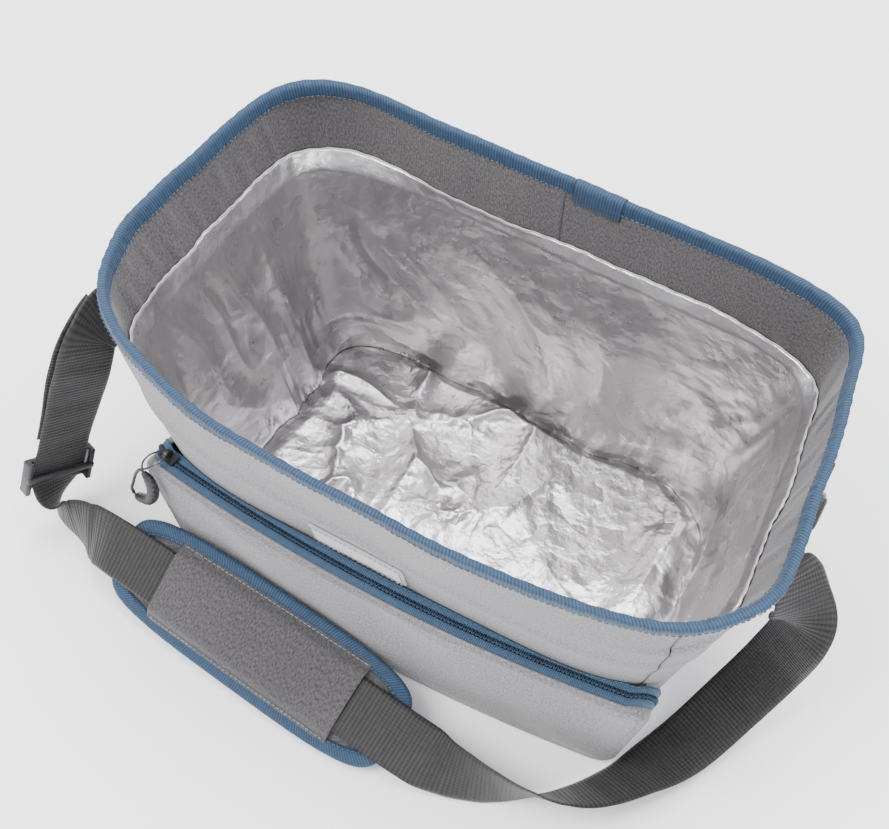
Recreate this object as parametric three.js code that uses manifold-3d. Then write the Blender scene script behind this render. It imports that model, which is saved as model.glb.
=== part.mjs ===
// Insulated cooler bag with a zipped front pocket and a padded shoulder strap.
// Units are millimetres. Origin: centre of the base underside. +X right, -Y front, +Z up.

import * as THREE from 'three';
import { mergeVertices } from 'three/addons/utils/BufferGeometryUtils.js';
import Module from 'manifold-3d';

const wasm = await Module();
wasm.setup();

// ---- driving dimensions -------------------------------------------------------------------

const GAP = 0.3;                 // clearance between neighbouring pieces

const BAG_HEIGHT = 250;
const BASE_HALF_X = 165;
const BASE_HALF_Y = 100;
const RIM_HALF_X = 211;
const RIM_FRONT = 157;           // rim overhang to the front of the origin
const RIM_BACK = 106;
const RIM_SHIFT_X = -3.5;
const RIM_TAPER = 0.00052;       // the rim narrows towards the back, per mm of depth
const BASE_SQUARENESS = 7;       // superellipse exponent of the base outline
const RIM_SQUARENESS = { frontLeft: 2.6, frontRight: 3.85, backLeft: 6.2, backRight: 7.8 };

const FABRIC = 1.2;              // outer canvas
const FOAM = 5;                  // closed-cell wall insulation
const FOIL = 0.8;                // foil liner
const LINER_TOP = 188;           // the liner and the foam stop here, the collar above is unpadded
const COLLAR_TOP = BAG_HEIGHT - 3;
const BASE_BOARD = 2.5;
const BASE_FOAM = 6;

const BINDING_DROP = 11;         // height of the rim tape on each face
const BINDING = 0.9;             // rim tape thickness

const POCKET_TOP = 115;
const POCKET_HALF_TOP = 176;
const POCKET_HALF_BOTTOM = 161;
const POCKET_CORNER = 14;
const POCKET_FRONT_TOP = 142;    // distance of the pocket's face in front of the origin
const POCKET_FRONT_BOTTOM = 129;
const POCKET_BOW = 1130;         // plan radius of the bowed pocket face and zip
const POCKET_PANEL = 2;

const TAPE = 1;                  // zip tape thickness
const TAPE_WIDTH = 5.2;
const COIL_WIDTH = 3;
const COIL_HEIGHT = 2.2;

const WEBBING_WIDTH = 40;
const WEBBING = 1.6;
const PIVOT = { x: 209, y: -8, z: 182 };   // centre of each strap ring, on the swing axis
const RING_RADIUS = 21;
const RING_WIRE = 2;
const RING_LOOP_ANGLE = 28;      // half angle of the webbing gathered round the ring, degrees
const STRAP_LOOP_AT = 255;       // where the strap's end sits on the ring, degrees from +Y

const PAD_LENGTH = 208;
const PAD_HALF_WIDTH = 33;
const PAD_THICKNESS = 5.4;
const PAD_BINDING = 3.4;

// The strap's route as it lies: centre of the webbing and its width direction.
const STRAP_ROUTE = [
  { at: [-211, -14, 153.5], width: [0, 1, 0] },
  { at: [-217, -20, 147], width: [0, 0.9, -0.4] },
  { at: [-227, -42, 152], width: [0.05, 0.6, -0.8] },
  { at: [-230, -67, 163], width: [0.2, 0.75, -0.6] },
  { at: [-230, -92, 162], width: [0.35, 0.68, -0.65] },
  { at: [-233, -104, 138], width: [0.35, 0.6, -0.7] },
  { at: [-240, -113, 105], width: [0.28, 0.6, -0.75] },
  { at: [-246, -125, 72], width: [0.2, 0.5, -0.85] },
  { at: [-249, -137, 43], width: [0.16, 0.1, -0.98] },
  { at: [-244, -147, 25], width: [0.1, 0, -1] },
  { at: [-228, -151, 22.5], width: [0, -0.1, -0.99] },
  { at: [-209, -156, 33], width: [-0.15, -0.45, -0.88] },
  { at: [-190, -159.3, 39.7], width: [-0.07, -0.695, -0.719] },
  { at: [-142, -162.9, 36.1], width: [-0.07, -0.752, -0.659] },
  { at: [-94, -166.5, 32.5], width: [-0.07, -0.805, -0.593] },
  { at: [-46, -170.1, 28.9], width: [-0.07, -0.852, -0.524] },
  { at: [2, -173.7, 25.3], width: [-0.07, -0.893, -0.451] },
  { at: [50, -177.3, 21.7], width: [-0.07, -0.927, -0.375] },
  { at: [72, -178, 20], width: [-0.02, -0.65, -0.76] },
  { at: [90, -176.5, 20.3], width: [0, -0.4, -0.92] },
  { at: [107, -174, 21.5], width: [-0.01, -0.13, -0.99] },
  { at: [125, -169, 21.5], width: [-0.02, 0.2, -0.98] },
  { at: [144, -160, 19], width: [-0.03, 0.55, -0.83] },
  { at: [162, -145, 16], width: [-0.15, 0.74, -0.65] },
  { at: [180, -120, 12], width: [-0.45, 0.7, -0.5] },
  { at: [198, -85, 8], width: [-0.8, 0.57, -0.1] },
  { at: [214, -49, 24], width: [-0.88, 0.42, 0.15] },
  { at: [226, -31, 62], width: [-0.85, 0.38, 0.25] },
  { at: [231, -31, 108], width: [-0.8, 0.3, 0.3] },
  { at: [226, -27, 134], width: [-0.7, -0.6, 0.2] },
  { at: [216, -17, 149], width: [-0.2, -1, 0] },
  { at: [211, -14, 153.5], width: [0, -1, 0] },
];
const PAD_START = 12.29;         // route positions of the pad's two ends
const PAD_END = 16.63;
const ADJUSTER_AT = 7.75;
const STRAP_STEPS = 64;          // equal steps of the route the webbing is cut into
const RETURN_STEPS = [7, 14];    // the webbing is doubled between these two steps

// ---- materials ----------------------------------------------------------------------------

function material(colour, roughness, metalness = 0) {
  return new THREE.MeshStandardMaterial({ color: colour, roughness, metalness });
}

const CANVAS = material(0xa6a3a8, 0.9);
const LINING = material(0x8f8a8f, 0.9);
const BLUE = material(0x40638a, 0.75);
const FOIL_SILVER = material(0xc4c2c4, 0.3, 0.9);
const WHITE_FOAM = material(0xe8e8e4, 0.8);
const BOARD = material(0x2a2a2c, 0.6);
const DARK_WEBBING = material(0x3a393b, 0.8);
const HEATHER = material(0x757175, 0.95);
const BLACK_PLASTIC = material(0x161617, 0.45);
const PLUSH = material(0xb4b3b8, 1);
const STEEL = material(0x3c3d40, 0.35, 0.8);

// ---- solid builders -----------------------------------------------------------------------

const bag = new THREE.Group();

// Bare, merged geometry whose faces point outwards.
function tidy(geometry) {
  geometry.deleteAttribute('normal');
  geometry.deleteAttribute('uv');
  const merged = mergeVertices(geometry, 1e-4);
  const position = merged.attributes.position;
  const index = merged.index;
  let volume = 0;
  const corner = [new THREE.Vector3(), new THREE.Vector3(), new THREE.Vector3()];
  for (let i = 0; i < index.count; i += 3) {
    corner.forEach((v, k) => v.fromBufferAttribute(position, index.getX(i + k)));
    volume += corner[0].dot(corner[1].cross(corner[2]));
  }
  if (volume < 0) {
    for (let i = 0; i < index.count; i += 3) {
      const first = index.getX(i);
      index.setX(i, index.getX(i + 1));
      index.setX(i + 1, first);
    }
  }
  return merged;
}

function add(name, geometry, finish) {
  const ready = tidy(geometry);
  ready.computeVertexNormals();
  const mesh = new THREE.Mesh(ready, finish);
  mesh.name = name;
  bag.add(mesh);
  return mesh;
}

// A box with nu x nv x nw cells whose corners are placed by place(u, v, w), each from 0 to 1.
function bentBox(nu, nv, nw, place) {
  const geometry = new THREE.BoxGeometry(1, 1, 1, nu, nv, nw);
  const position = geometry.attributes.position;
  for (let i = 0; i < position.count; i += 1) {
    const p = place(position.getX(i) + 0.5, position.getY(i) + 0.5, position.getZ(i) + 0.5);
    position.setXYZ(i, p.x, p.y, p.z);
  }
  return geometry;
}

// A closed ring: a closed profile of [across, along] points carried round, placed by
// place(angle, across, along).
function bentRing(segments, profile, place) {
  const start = 10;
  const points = [...profile, profile[0]].map(([across, along]) => new THREE.Vector2(start + across, along));
  const geometry = new THREE.LatheGeometry(points, segments);
  const position = geometry.attributes.position;
  for (let i = 0; i < position.count; i += 1) {
    const angle = Math.atan2(position.getX(i), position.getZ(i));
    const across = Math.hypot(position.getX(i), position.getZ(i)) - start;
    const p = place(angle, across, position.getY(i));
    position.setXYZ(i, p.x, p.y, p.z);
  }
  return geometry;
}

function solid(geometry) {
  const ready = tidy(geometry);
  const mesh = new wasm.Mesh({
    numProp: 3,
    vertProperties: new Float32Array(ready.attributes.position.array),
    triVerts: new Uint32Array(ready.index.array),
  });
  return new wasm.Manifold(mesh);
}

function fromSolid(shape) {
  const mesh = shape.getMesh();
  const geometry = new THREE.BufferGeometry();
  geometry.setAttribute('position', new THREE.BufferAttribute(new Float32Array(mesh.vertProperties), 3));
  geometry.setIndex(new THREE.BufferAttribute(new Uint32Array(mesh.triVerts), 1));
  return geometry;
}

const mix = (a, b, t) => a + (b - a) * t;
const radians = THREE.MathUtils.degToRad;

// A signed power, exactly zero on the axes of an outline.
const signedPower = (value, exponent) => (
  Math.abs(value) < 1e-9 ? 0 : Math.sign(value) * Math.abs(value) ** exponent
);

// ---- the bag's walls ----------------------------------------------------------------------

// Plan outline of the outer fabric at height z, drawn in by inset.
function outline(z, inset) {
  const t = z / BAG_HEIGHT;
  const halfX = BASE_HALF_X + (RIM_HALF_X - BASE_HALF_X) * (0.67 * t + 0.33 * t * t) - inset;
  const front = BASE_HALF_Y + (RIM_FRONT - BASE_HALF_Y) * (0.74 * t + 0.26 * t * t) - inset;
  const back = mix(BASE_HALF_Y, RIM_BACK, t) - inset;
  return {
    halfX,
    halfY: (front + back) / 2,
    centreX: RIM_SHIFT_X * t,
    centreY: (back - front) / 2,
    taper: RIM_TAPER * t,
    squareness: (left, behind) => {
      const rim = RIM_SQUARENESS[(behind ? 'back' : 'front') + (left ? 'Left' : 'Right')];
      return mix(BASE_SQUARENESS, rim, t);
    },
  };
}

// Point of the wall at a plan angle (0 at +X, a quarter turn at the back).
function wallPoint(angle, z, inset) {
  const shape = outline(z, inset);
  const c = Math.cos(angle);
  const s = Math.sin(angle);
  const power = 2 / shape.squareness(c < 0, s > 0);
  const y = shape.halfY * signedPower(s, power);
  const x = shape.halfX * signedPower(c, power) * (1 - shape.taper * y);
  return new THREE.Vector3(shape.centreX + x, shape.centreY + y, z);
}

// The front wall's y at a given x and height.
function frontWallY(x, z, inset = 0) {
  const shape = outline(z, inset);
  const across = Math.min(Math.abs(x - shape.centreX) / shape.halfX, 0.999);
  const n = shape.squareness(x < shape.centreX, false);
  return shape.centreY - shape.halfY * (1 - across ** n) ** (1 / n);
}

const CORNER_GAP = 0.4;
const SIDES = { right: -45, back: 45, left: 135, front: 225 };
const STEPS_PER_SIDE = 10;
const ROW_HEIGHT = 40;

// Heights of the rows of a wall piece: the same for every layer, so that the layers nest.
function rowHeights(low, high) {
  const heights = [low];
  for (let z = ROW_HEIGHT; z < high - 6; z += ROW_HEIGHT) {
    if (z > low + 6) heights.push(z);
  }
  heights.push(high);
  return heights;
}

function wallPanel(side, inset, thickness, low, high) {
  const start = SIDES[side];
  const heights = rowHeights(low, high);
  const rows = heights.length - 1;
  return bentBox(STEPS_PER_SIDE, rows, 1, (u, v, w) => {
    const angle = THREE.MathUtils.clamp(start + 90 * u, start + CORNER_GAP, start + 90 - CORNER_GAP);
    return wallPoint(radians(angle), heights[Math.round(v * rows)], inset + thickness * (1 - w));
  });
}

const COLLAR_INSET = FABRIC + GAP;
const FOAM_INSET = FABRIC + 0.9;
const FOIL_INSET = FOAM_INSET + FOAM + GAP;
const BASE_STACK = FABRIC + GAP + BASE_BOARD + GAP + BASE_FOAM + GAP;

for (const side of Object.keys(SIDES)) {
  add(`outer_${side}_panel`, wallPanel(side, 0, FABRIC, 0, COLLAR_TOP), CANVAS);
  add(`foam_${side}`, wallPanel(side, FOAM_INSET, FOAM, FABRIC + GAP, LINER_TOP - 2), WHITE_FOAM);
}

// A flat sheet filling the plan outline between two heights.
function baseSheet(low, thickness, inset) {
  const edge = 4 * STEPS_PER_SIDE;
  const shape = new THREE.Shape();
  for (let i = 0; i < edge; i += 1) {
    const p = wallPoint((i / edge) * 2 * Math.PI, low, inset);
    if (i === 0) shape.moveTo(p.x, p.y);
    else shape.lineTo(p.x, p.y);
  }
  shape.closePath();
  const sheet = new THREE.ExtrudeGeometry(shape, { depth: thickness, bevelEnabled: false });
  sheet.translate(0, 0, low);
  return sheet;
}

const INSIDE_FOAM = FOAM_INSET + FOAM + 2 * GAP;
add('base_panel', baseSheet(0, FABRIC, FABRIC + 2 * GAP), CANVAS);
add('base_board', baseSheet(FABRIC + GAP, BASE_BOARD, INSIDE_FOAM), BOARD);
add('foam_base', baseSheet(FABRIC + BASE_BOARD + 2 * GAP, BASE_FOAM, INSIDE_FOAM), WHITE_FOAM);
add('liner_floor', baseSheet(BASE_STACK, FOIL, FOIL_INSET + FOIL + 2 * GAP), FOIL_SILVER);

// A ring that follows the walls, from a profile of [inset, height] points.
function wallRing(profile) {
  return bentRing(4 * STEPS_PER_SIDE, profile, (angle, inset, z) => wallPoint(angle, z, inset));
}

function wallBand(inset, thickness, low, high) {
  const heights = rowHeights(low, high);
  const outside = heights.map((z) => [inset, z]);
  const inside = heights.map((z) => [inset + thickness, z]).reverse();
  return wallRing([...outside, ...inside]);
}

const COLLAR = 0.8;
const HEM = 0.9;
add('liner_walls', wallBand(FOIL_INSET, FOIL, BASE_STACK, LINER_TOP), FOIL_SILVER);
add('liner_hem', wallBand(FOIL_INSET + FOIL + GAP, HEM, LINER_TOP - 7, LINER_TOP), FOIL_SILVER);
add('collar_lining', wallBand(COLLAR_INSET, COLLAR, LINER_TOP, COLLAR_TOP), LINING);

// Rim tape folded over the top edge of the canvas and the lining.
const RIM_STACK = FABRIC + GAP + COLLAR;
const bindingProfile = [
  [-GAP - BINDING, BAG_HEIGHT - BINDING_DROP],
  [-GAP - BINDING, BAG_HEIGHT - 1],
  [RIM_STACK / 2, BAG_HEIGHT],
  [RIM_STACK + GAP + BINDING, BAG_HEIGHT - 1],
  [RIM_STACK + GAP + BINDING, BAG_HEIGHT - BINDING_DROP],
  [RIM_STACK + GAP, BAG_HEIGHT - BINDING_DROP],
  [RIM_STACK + GAP, COLLAR_TOP + GAP],
  [-GAP, COLLAR_TOP + GAP],
  [-GAP, BAG_HEIGHT - BINDING_DROP],
];
add('rim_binding', wallRing(bindingProfile), BLUE);

// The tape's second end laps over its first at the back.
const LAP = { left: -2, right: 35 };

function backWallPoint(x, z, inset) {
  const shape = outline(z, inset);
  const halfX = shape.halfX * (1 - shape.taper * shape.halfY);
  const n = shape.squareness(x < shape.centreX, true);
  const across = Math.abs(x - shape.centreX) / halfX;
  return new THREE.Vector3(x, shape.centreY + shape.halfY * (1 - across ** n) ** (1 / n), z);
}

add('rim_binding_lap', bentBox(4, 1, 1, (u, v, w) => backWallPoint(
  mix(LAP.left, LAP.right, u),
  mix(BAG_HEIGHT - BINDING_DROP - 4, BAG_HEIGHT - 2, v),
  RIM_STACK + 2 * GAP + BINDING + BINDING * w,
)), BLUE);

// ---- hook-and-loop patch above the pocket --------------------------------------------------

const PATCH = { left: -50, right: 15, low: 119, high: 147, thickness: 1.5 };
add('closure_loop_patch', bentBox(6, 3, 1, (u, v, w) => {
  const x = mix(PATCH.left, PATCH.right, u);
  const z = mix(PATCH.low, PATCH.high, v);
  return new THREE.Vector3(x, frontWallY(x, z) - GAP - PATCH.thickness * w, z);
}), PLUSH);

// ---- front pocket -------------------------------------------------------------------------

const bow = (x) => POCKET_BOW - Math.sqrt(POCKET_BOW ** 2 - x ** 2);
const pocketSide = (z) => mix(POCKET_HALF_BOTTOM, POCKET_HALF_TOP, z / POCKET_TOP);
const pocketFace = (x, z) => bow(x) - mix(POCKET_FRONT_BOTTOM, POCKET_FRONT_TOP, z / POCKET_TOP);

// Half width of the pocket's face, with its round top and bottom corners.
function pocketHalfWidth(z) {
  const fromEnd = Math.min(POCKET_TOP - z, z - 1);
  const into = Math.max(POCKET_CORNER - fromEnd, 0);
  const cut = POCKET_CORNER - Math.sqrt(Math.max(POCKET_CORNER ** 2 - into ** 2, 0));
  return pocketSide(z) - 0.95 * cut;
}

add('pocket_front_panel', bentBox(14, 9, 1, (u, v, w) => {
  const eased = (1 - Math.cos(Math.PI * v)) / 2;
  const z = mix(1, POCKET_TOP, eased);
  const x = pocketHalfWidth(z) * mix(-1, 1, u);
  return new THREE.Vector3(x, pocketFace(x, z) + POCKET_PANEL * (1 - w), z);
}), CANVAS);

// Stations of the pocket's edge: up the left side, along the top and down the right side.
function pocketEdge() {
  const stations = [];
  const SIDE_STEPS = 3;
  const CORNER_STEPS = 4;
  const TOP_STEPS = 12;
  const lowest = POCKET_CORNER;
  const shoulder = POCKET_TOP - POCKET_CORNER;
  for (let i = 0; i < SIDE_STEPS; i += 1) {
    const z = mix(lowest, shoulder, i / SIDE_STEPS);
    stations.push({ x: -pocketSide(z), z, outX: -1, outZ: 0 });
  }
  for (let i = 0; i <= CORNER_STEPS; i += 1) {
    const turn = (Math.PI / 2) * (i / CORNER_STEPS);
    const outX = -Math.cos(turn);
    const outZ = Math.sin(turn);
    stations.push({
      x: -(pocketSide(shoulder) - POCKET_CORNER) + POCKET_CORNER * outX,
      z: shoulder + POCKET_CORNER * outZ,
      outX,
      outZ,
    });
  }
  const straight = pocketSide(shoulder) - POCKET_CORNER;
  for (let i = 1; i < TOP_STEPS; i += 1) {
    stations.push({ x: mix(-straight, straight, i / TOP_STEPS), z: POCKET_TOP, outX: 0, outZ: 1 });
  }
  const left = stations.slice(0, SIDE_STEPS + CORNER_STEPS + 1).reverse();
  left.forEach((s) => stations.push({ ...s, x: -s.x, outX: -s.outX }));
  return stations;
}
const EDGE = pocketEdge();

// How far the strips' line has come round the side, from 0 on top to 1 at the side.
const roundSide = (station) => Math.abs(station.outX);

// A strip of the pocket's edge, between two depths behind the face.
function edgeStrip(fromDepth, toDepth, thickness, lift = 0, first = 0, last = EDGE.length - 1) {
  return bentBox(last - first, 1, 1, (u, v, w) => {
    const station = EDGE[first + Math.round(u * (last - first))];
    const depth = mix(fromDepth(station), toDepth(station), v);
    const out = lift - thickness * (1 - w);
    return new THREE.Vector3(
      station.x + station.outX * out,
      pocketFace(station.x, station.z) + POCKET_PANEL + depth,
      station.z + station.outZ * out,
    );
  });
}

const TOP_STRIP = 1.2;
const SIDE_STRIP = 8;
const wallGap = (s) => (
  frontWallY(s.x, Math.max(s.z, 8)) - 4 * GAP - pocketFace(s.x, s.z) - POCKET_PANEL
);
const stripEnd = (s) => mix(TOP_STRIP, SIDE_STRIP, roundSide(s));
const frontTapeEnd = (s) => stripEnd(s) + GAP + TAPE_WIDTH;
const coilEnd = (s) => frontTapeEnd(s) + GAP + COIL_WIDTH;
const wallTapeEnd = (s) => Math.min(coilEnd(s) + GAP + TAPE_WIDTH, Math.max(wallGap(s), coilEnd(s) + 2));
add('pocket_edge_strip', edgeStrip(() => GAP, stripEnd, FABRIC), CANVAS);
add('zip_tape_front', edgeStrip((s) => stripEnd(s) + GAP, frontTapeEnd, TAPE), BLUE);
add('zip_coil', edgeStrip((s) => frontTapeEnd(s) + GAP, coilEnd, COIL_HEIGHT, 0.6), BLUE);
add('zip_tape_wall', edgeStrip((s) => coilEnd(s) + GAP, wallTapeEnd, TAPE), BLUE);

// Each side gusset runs in from the zip tape to the rounded corner of the bag.
const SIDE_STATIONS = 5;
const GUSSET_INSET = 8;

function sideGusset(first) {
  return bentBox(SIDE_STATIONS, 1, 1, (u, v, w) => {
    const station = EDGE[first + Math.round(u * SIDE_STATIONS)];
    const out = -FABRIC * (1 - w);
    const reach = outline(station.z, 0).halfX - GUSSET_INSET;
    const side = Math.sign(station.x);
    const wallX = side * Math.min(Math.abs(station.x), reach);
    const tapeY = pocketFace(station.x, station.z) + POCKET_PANEL + wallTapeEnd(station) + GAP;
    const wallY = Math.max(frontWallY(wallX - 3.2 * side, station.z) - 1.6, tapeY + 1);
    return new THREE.Vector3(
      mix(station.x, wallX, v) + station.outX * out,
      mix(tapeY, wallY, v),
      station.z + station.outZ * out,
    );
  });
}
add('pocket_gusset_left', sideGusset(0), CANVAS);
add('pocket_gusset_right', sideGusset(EDGE.length - 1 - SIDE_STATIONS), CANVAS);

const POCKET_FLOOR_HALF = POCKET_HALF_BOTTOM - POCKET_CORNER - 4;
add('pocket_gusset_bottom', bentBox(10, 1, 1, (u, v, w) => {
  const x = mix(-POCKET_FLOOR_HALF, POCKET_FLOOR_HALF, u);
  const z = mix(1, 1 + FABRIC, w);
  return new THREE.Vector3(x, mix(pocketFace(x, 0) + POCKET_PANEL + 2 * GAP, frontWallY(x, z) - 1.5, v), z);
}), CANVAS);

// Stops clamped across the zip just below the coil's two ends.
for (const [name, at] of [['zip_stop_left', 0], ['zip_stop_right', EDGE.length - 1]]) {
  const s = EDGE[at];
  const stop = new THREE.BoxGeometry(2.2, COIL_WIDTH + 1.6, 3.6);
  stop.translate(
    s.x - s.outX * 0.5,
    pocketFace(s.x, s.z) + POCKET_PANEL + frontTapeEnd(s) + GAP + COIL_WIDTH / 2,
    s.z - GAP - 1.8,
  );
  add(name, stop, STEEL);
}

// ---- zip slider and its pull ---------------------------------------------------------------

// The slider is drawn at the middle of the pocket's top edge and turned to its place along
// the bowed zip, about the centre of the bow.
const COIL_MIDDLE = TOP_STRIP + TAPE_WIDTH + 2 * GAP + COIL_WIDTH / 2;
const SLIDER_AT = -160;
const sliderTurn = new THREE.Group();
const BOW_CENTRE_Y = POCKET_BOW - POCKET_FRONT_TOP;
const sliderAngle = Math.asin(SLIDER_AT / (POCKET_BOW - COIL_MIDDLE - POCKET_PANEL));
sliderTurn.position.set(0, BOW_CENTRE_Y, 0);
sliderTurn.rotation.z = sliderAngle;
bag.add(sliderTurn);

function addToSlider(name, geometry, finish) {
  const mesh = add(name, geometry, finish);
  sliderTurn.add(mesh);
  mesh.position.set(0, -POCKET_BOW + POCKET_PANEL + COIL_MIDDLE, 0);
}

const SLIDER = { length: 13, width: 7.4, thickness: 2.2 };
const SLIDER_FLOOR = POCKET_TOP + 0.6 + GAP;
const sliderShape = new THREE.Shape();
sliderShape.moveTo(-SLIDER.length / 2, -SLIDER.width * 0.34);
sliderShape.quadraticCurveTo(-SLIDER.length / 4, -SLIDER.width / 2, SLIDER.length / 2, -SLIDER.width / 2);
sliderShape.lineTo(SLIDER.length / 2, SLIDER.width / 2);
sliderShape.quadraticCurveTo(-SLIDER.length / 4, SLIDER.width / 2, -SLIDER.length / 2, SLIDER.width * 0.34);
sliderShape.closePath();
const sliderPlate = new THREE.ExtrudeGeometry(sliderShape, { depth: SLIDER.thickness, bevelEnabled: false, curveSegments: 4 });
sliderPlate.translate(0, 0, SLIDER_FLOOR);
addToSlider('zip_slider', sliderPlate, BLACK_PLASTIC);

// The bridge stands across the slider and holds the pull's link.
const BRIDGE_FOOT = SLIDER_FLOOR + SLIDER.thickness + GAP;
const BRIDGE = { length: 7.4, width: 2.4, height: 4.6, wall: 1.3 };
const bridgeShape = new THREE.Shape();
bridgeShape.moveTo(-BRIDGE.length / 2, 0);
bridgeShape.lineTo(BRIDGE.length / 2, 0);
bridgeShape.quadraticCurveTo(BRIDGE.length / 2, BRIDGE.height, 0, BRIDGE.height);
bridgeShape.quadraticCurveTo(-BRIDGE.length / 2, BRIDGE.height, -BRIDGE.length / 2, 0);
const bridgeHole = new THREE.Path();
const HOLE_RADIUS = 1.3;
bridgeHole.absarc(0, BRIDGE.wall + HOLE_RADIUS - 0.3, HOLE_RADIUS, 0, 2 * Math.PI, true);
bridgeShape.holes.push(bridgeHole);
const bridge = new THREE.ExtrudeGeometry(bridgeShape, { depth: BRIDGE.width, bevelEnabled: false, curveSegments: 5 });
bridge.translate(0, 0, -BRIDGE.width / 2);
bridge.rotateX(Math.PI / 2);
bridge.rotateZ(Math.PI / 2);
bridge.translate(0, 0, BRIDGE_FOOT);
addToSlider('zip_slider_bridge', bridge, BLACK_PLASTIC);

// A closed wire loop through the bridge, then the cord and the moulded grip, hanging in
// front of the pocket's face.
function wire(points, radius, steps, closed = false) {
  const path = new THREE.CatmullRomCurve3(points.map((p) => new THREE.Vector3(...p)), closed);
  const section = new THREE.Shape();
  section.absarc(0, 0, radius, 0, 2 * Math.PI);
  return new THREE.ExtrudeGeometry(section, { steps, extrudePath: path, bevelEnabled: false, curveSegments: 3 });
}

const PULL_PIVOT_Z = BRIDGE_FOOT + BRIDGE.wall + HOLE_RADIUS - 0.3;
const PULL_OUT = -(COIL_MIDDLE + POCKET_PANEL) - 5.5;   // the pull's plane in front of the face
const LINK_WIRE = 0.7;
const LINK_HALF = 4.2;
const LINK_LEAN = -7;            // the pull lies over towards the bag's left
const linkPoints = [
  [0, 0, PULL_PIVOT_Z], [LINK_HALF * 0.8, -1.5, PULL_PIVOT_Z + 0.2], [LINK_HALF, -8, PULL_PIVOT_Z + 0.5],
  [LINK_HALF * 0.6, PULL_OUT + 2, PULL_PIVOT_Z - 3], [0, PULL_OUT, PULL_PIVOT_Z - 6],
  [-LINK_HALF * 0.6, PULL_OUT + 2, PULL_PIVOT_Z - 3], [-LINK_HALF, -8, PULL_PIVOT_Z + 0.5],
  [-LINK_HALF * 0.8, -1.5, PULL_PIVOT_Z + 0.2],
].map(([x, y, z]) => [x + LINK_LEAN * (y / PULL_OUT), y, z]);
const link = solid(wire([...linkPoints.slice(0, 5)], LINK_WIRE, 10))
  .add(solid(wire([linkPoints[4], ...linkPoints.slice(5), linkPoints[0]], LINK_WIRE, 10)));
addToSlider('zip_pull_link', fromSolid(link), STEEL);

const CORD_RADIUS = 1.1;
const CORD_TOP = PULL_PIVOT_Z - 6;
const CORD_POINTS = [[0, -2], [-3, -4], [-7, -20], [-10, -38], [-9, -43]];
const hang = ([x, drop]) => [x + LINK_LEAN + 0.16 * drop, PULL_OUT, CORD_TOP + drop];
addToSlider('zip_pull_cord', wire(CORD_POINTS.map(hang), CORD_RADIUS, 9), BLACK_PLASTIC);

// The grip is a fat crescent, thickest at its middle.
const GRIP_POINTS = [[1.5, -3.5], [7, -12], [8.5, -26], [3, -40], [-5, -45]];
const gripPath = new THREE.CatmullRomCurve3(GRIP_POINTS.map((p) => new THREE.Vector3(...hang(p))));
addToSlider('zip_pull_grip', bentBox(9, 2, 2, (u, v, w) => {
  const at = gripPath.getPoint(u);
  const along = gripPath.getTangent(u);
  const radius = 1.4 + 2.2 * Math.sin(Math.PI * Math.min(u * 1.05, 1)) ** 0.7;
  const a = 2 * v - 1;
  const b = 2 * w - 1;
  const size = Math.max(Math.abs(a), Math.abs(b)) / Math.max(Math.hypot(a, b), 1e-6);
  const across = new THREE.Vector3(-along.z, 0, along.x);
  return at.clone().addScaledVector(across, radius * a * size).add(new THREE.Vector3(0, 0.8 * radius * b * size, 0));
}), BLACK_PLASTIC);

// ---- shoulder strap -----------------------------------------------------------------------

const routeCurve = new THREE.CatmullRomCurve3(STRAP_ROUTE.map((s) => new THREE.Vector3(...s.at)), false, 'catmullrom', 0.5);
const widthCurve = new THREE.CatmullRomCurve3(
  STRAP_ROUTE.map((s) => new THREE.Vector3(...s.width).normalize()), false, 'catmullrom', 0.5,
);

// The strap's frame at a route position (0 is the left ring, counted in route points).
function strapFrame(position) {
  const t = THREE.MathUtils.clamp(position / (STRAP_ROUTE.length - 1), 0, 1);
  const centre = routeCurve.getPoint(t);
  const along = routeCurve.getTangent(t);
  const across = widthCurve.getPoint(t);
  across.addScaledVector(along, -across.dot(along)).normalize();
  const under = new THREE.Vector3().crossVectors(along, across);
  return { centre, along, across, under };
}

// Point of the strap: route position, distance across and distance below its outer side.
function onStrap(position, across, under) {
  const frame = strapFrame(position);
  return frame.centre.addScaledVector(frame.across, across).addScaledVector(frame.under, under);
}

function webbing(from, to, steps, offset, width = () => WEBBING_WIDTH) {
  return bentBox(steps, 1, 1, (u, v, w) => {
    const position = mix(from, to, u);
    return onStrap(position, width(u) * (v - 0.5), offset(u) + WEBBING * (w - 0.5));
  });
}

const ROUTE_END = STRAP_ROUTE.length - 1;
const gathered = (u) => mix(WEBBING_WIDTH, 22, Math.max(1 - Math.min(u, 1 - u) * ROUTE_END / 1.1, 0));
const STEP = ROUTE_END / STRAP_STEPS;
const [RETURN_FIRST, RETURN_LAST] = RETURN_STEPS;
add('strap_webbing', webbing(0, ROUTE_END, STRAP_STEPS, () => 0, gathered), DARK_WEBBING);
add('strap_return_layer', webbing(
  RETURN_FIRST * STEP,
  RETURN_LAST * STEP,
  RETURN_LAST - RETURN_FIRST,
  (u) => -(WEBBING + 1.6) - 4 * Math.sin(Math.PI * u) ** 2,
), DARK_WEBBING);

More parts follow.
